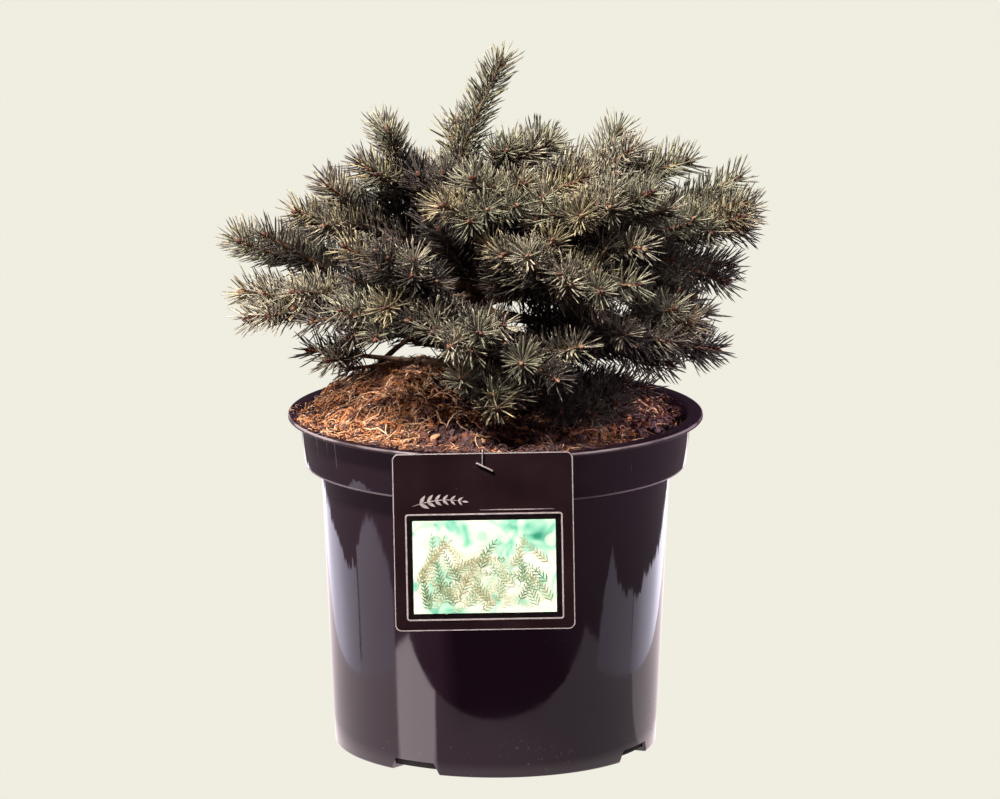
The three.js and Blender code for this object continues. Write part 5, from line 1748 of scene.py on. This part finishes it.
def table():
    """The table: flat cream to the camera, and in mirror rays a paper sheet with a straight near edge.

    The sheet is bright close to the pot's foot, in a wedge at the front left and far behind the pot,
    and dim between them: the wedge is a painted pool of light, and the dim sheet beside it the pot's
    painted shadow. Beyond its edges the mirror rays find black in front and a dim floor to the
    sides. Places and widths in it are in metres.
    """
    k, onward = neighbours(TABLE_SIDES)
    angle = k * 2 * np.pi / TABLE_SIDES
    rim = stack(np.cos(angle), np.sin(angle), 0) * TABLE_RADIUS
    points = np.vstack([rim + [0, 0, TABLE_LEVEL], [[0, 0, TABLE_LEVEL]]])
    material, tree = glow_of("table")
    place = object_coordinates(tree)
    parts = node(tree, "ShaderNodeSeparateXYZ", {"Vector": place}).outputs

    def between(value, low, high, soft):
        """1 where a value lies between two limits, falling to 0 over a soft edge outside them."""
        rise = scaled(tree, value, low - soft, low + soft)
        return maths(tree, "MULTIPLY", rise, scaled(tree, value, high + soft, high - soft))

    def beside(x, y, turn):
        """1 on the left of a line through a place, at a turn from the line of sight towards the viewer."""
        across = (np.cos(turn), np.sin(turn), 0)
        along = node(tree, "ShaderNodeVectorMath", {0: place, 1: across}, operation="DOT_PRODUCT")
        limit = x * across[0] + y * across[1]
        return scaled(tree, along.outputs["Value"], limit + 0.002, limit - 0.002)

    away = node(tree, "ShaderNodeVectorMath", {0: place}, operation="LENGTH").outputs["Value"]
    deep = between(parts["Y"], SHEET_NEAR, SHEET_FAR, SHEET_SOFT[0])
    wide = between(parts["X"], SHEET_LEFT, SHEET_RIGHT, SHEET_SOFT[1])
    sheet = maths(tree, "MULTIPLY", deep, wide)
    outer = beside(*WEDGE_OUTER)
    wedge = maths(tree, "SUBTRACT", beside(*WEDGE_INNER), outer, clamped=True)
    # The wedge's painted pool of light, added to the sheet's glow.
    total = maths(tree, "MULTIPLY_ADD", wedge, WEDGE_GLOW, SHEET_GLOW)
    total = maths(tree, "MULTIPLY_ADD", outer, LEFT_GLOW, total)
    total = maths(tree, "ADD", total, scaled(tree, parts["Y"], 0.05, 0.35, 0.0, FAR_GLOW))
    total = maths(tree, "ADD", total, scaled(tree, away, 0.112, 0.095, 0.0, CLOSE_GLOW))
    total = maths(tree, "MULTIPLY", total, sheet)
    for near, off, most in ((-0.16, -0.36, 0.2), (0.16, 0.36, 0.16)):
        total = maths(tree, "ADD", total, scaled(tree, parts["X"], near, off, 0.0, most))
    tone = {0: (1.0, 0.86, 0.89), "Scale": total}
    mirrored = node(tree, "ShaderNodeVectorMath", tone, operation="SCALE").outputs[0]
    path = tree.nodes.new("ShaderNodeLightPath").outputs
    colour = mixed(tree, path["Is Glossy Ray"], (0.10, 0.067, 0.082, 1), mirrored)
    glowing(tree, mixed(tree, path["Is Camera Ray"], colour, CREAM), 1.0)
    faces = stack(k, onward, TABLE_SIDES)
    piece("studio_table", points, [faces], [material], smooth=False)


def mirrored_only(made, colour, strength, near=0.0, far=0.001, least=1.0):
    """Gives a stage object a glow that only mirror rays find, brighter in soft patches.

    It dims to the least share at the near one of two distances in metres along Y.
    """
    material, tree = glow_of(made.name)
    place = object_coordinates(tree)
    glow = scaled(tree, clouds(tree, place, scale=7.0, detail=1.0), 0.3, 0.7, 0.85 * strength, 1.1 * strength)
    depth = node(tree, "ShaderNodeSeparateXYZ", {"Vector": place}).outputs["Y"]
    share = scaled(tree, depth, near, far, least)
    glowing(tree, colour, maths(tree, "MULTIPLY", glow, share))
    made.data.materials.append(material)
    made.visible_camera = False
    made.visible_shadow = False
    made.visible_diffuse = False
    made.visible_transmission = False


def board(name, x, outline, colour, strength, seed, *dimming):
    """An upright board beside the pot, parallel to the line of sight, with its lit part's ragged top.

    The outline is a list of places along Y with the top's height at each. Noise roughens it.
    """
    along, tops = np.array(outline, float).T
    y = np.arange(along[0], along[-1] + 0.1, 1.5)
    flat = stack(y, 0, 0)
    plain = np.interp(y, along, tops)
    ragged = plain + 4.5 * noise(flat, 14, seed) + 3.5 * noise(flat, 3.2, seed + 1)
    top = np.maximum(mix(plain, ragged, smoothstep(plain, 0, 25)), 0.5)
    points = np.concatenate([stack(x, y, 0.2), stack(x, y, top)])
    k = np.arange(len(y) - 1)
    faces = stack(k, k + 1, k + 1 + len(y), k + len(y))
    mirrored_only(piece(name, points, [faces], [], smooth=False), colour, strength, *dimming)


def aimed(light, place, aim, power, colour, mirrored):
    """Puts a light in the studio, turned from its place towards an aim, seen in mirror rays or not."""
    light.energy = power
    light.color = colour
    made = bpy.data.objects.new(light.name, light)
    bpy.context.scene.collection.objects.link(made)
    made.location = place
    made.rotation_mode = "QUATERNION"
    direction = made.location.copy()
    direction.xyz = aim
    made.rotation_quaternion = (direction - made.location).to_track_quat("-Z", "Y")
    made.visible_camera = False
    made.visible_glossy = mirrored


def softbox(name, place, aim, size, power, colour, mirrored):
    """A square area light of a size in metres."""
    light = bpy.data.lights.new(name, "AREA")
    light.shape = "SQUARE"
    light.size = size
    aimed(light, place, aim, power, colour, mirrored)


def spot(name, place, aim, degrees, power, colour):
    """A lamp with a narrow cone and a soft edge, which mirror rays don't find."""
    light = bpy.data.lights.new(name, "SPOT")
    light.spot_size = np.radians(degrees)
    light.spot_blend = 0.7
    light.shadow_soft_size = 0.06
    aimed(light, place, aim, power, colour, False)


world_light()
table()
# Each board's name, its place along X, its lit part's outline, colour and strength, its seed, and how it
# dims towards its near end.
NEAR_LEFT, NEAR_RIGHT, FAR_TONE = (0.80, 0.72, 0.84, 1), (0.78, 0.70, 0.84, 1), (0.88, 0.83, 1.0, 1)
outline = ((-123, 2), (-122, 40), (-102, 74), (-52, 98), (-22, 84), (-4, 72))
board("board_left_near", -BOARD_X, outline, NEAR_LEFT, 1.75, 31)
outline = ((0, 62), (60, 68), (108, 71), (200, 73), (311, 60), (420, 38), (520, 22))
board("board_left_far", -BOARD_X, outline, FAR_TONE, 3.3, 33, 0.0, 0.4, 0.5)
outline = ((-115, 2), (-112, 20), (-82, 80), (-70, 62), (-31, 50), (-1, 46))
board("board_right_near", BOARD_X, outline, NEAR_RIGHT, 1.0, 35)
outline = ((1, 46), (55, 54), (111, 52), (200, 55), (311, 50), (420, 36), (520, 20))
board("board_right_far", BOARD_X, outline, FAR_TONE, 3.5, 37, 0.01, 0.17, 0.32)
around = np.array([[-1, -1], [1, -1], [1, 1], [-1, 1]]) * CEILING_HALF
corners = stack(*around.T, CEILING_HEIGHT)
ceiling = piece("board_above", corners, [np.array([[0, 3, 2, 1]])], [], smooth=False)
mirrored_only(ceiling, (1.0, 0.93, 0.95, 1), 6.0)
# Each light's name, place and aim in metres, size or cone, power in watts and colour, and for a softbox
# whether mirror rays find it.
softbox("key_light", (-0.95, -0.95, 2.05), (0, 0, 0.28), 0.3, 152, (1.0, 0.93, 0.83), True)
softbox("fill_light", (1.4, -1.6, 0.9), (0, 0, 0.25), 1.4, 2.0, (0.98, 0.78, 0.9), False)
softbox("rim_left", (-1.3, 1.0, 0.9), (0, 0, 0.28), 0.8, 3, (0.95, 0.9, 1.0), False)
softbox("rim_right", (1.3, 1.0, 0.9), (0, 0, 0.28), 0.8, 4, (0.93, 0.88, 1.0), False)
spot("mulch_light", (-0.95, -0.85, 0.6), (-0.072, 0.004, 0.193), 6.4, 86, (1.0, 0.9, 0.8))
spot("shade_light", (0.95, -0.75, 0.6), (0.084, 0.0, 0.183), 6.0, 130, (1.0, 0.88, 0.98))

# The camera.
# It looks down a little from far off, through a long lens, at a place a little above the pot's rim.
CAMERA_DISTANCE = 4.5
CAMERA_RISE = np.radians(12.2)
CAMERA_AIM = np.array([0.0025, 0, 0.1933])
CAMERA_LENS = 292.3

lens = bpy.data.cameras.new("studio_camera")
lens.lens = CAMERA_LENS
lens.clip_end = 30
camera = bpy.data.objects.new("studio_camera", lens)
bpy.context.scene.collection.objects.link(camera)
camera.location = CAMERA_AIM + CAMERA_DISTANCE * np.array([0, -np.cos(CAMERA_RISE), np.sin(CAMERA_RISE)])
camera.rotation_euler = (np.pi / 2 - CAMERA_RISE, 0, 0)
bpy.context.scene.camera = camera
bpy.context.scene.view_settings.view_transform = "Standard"
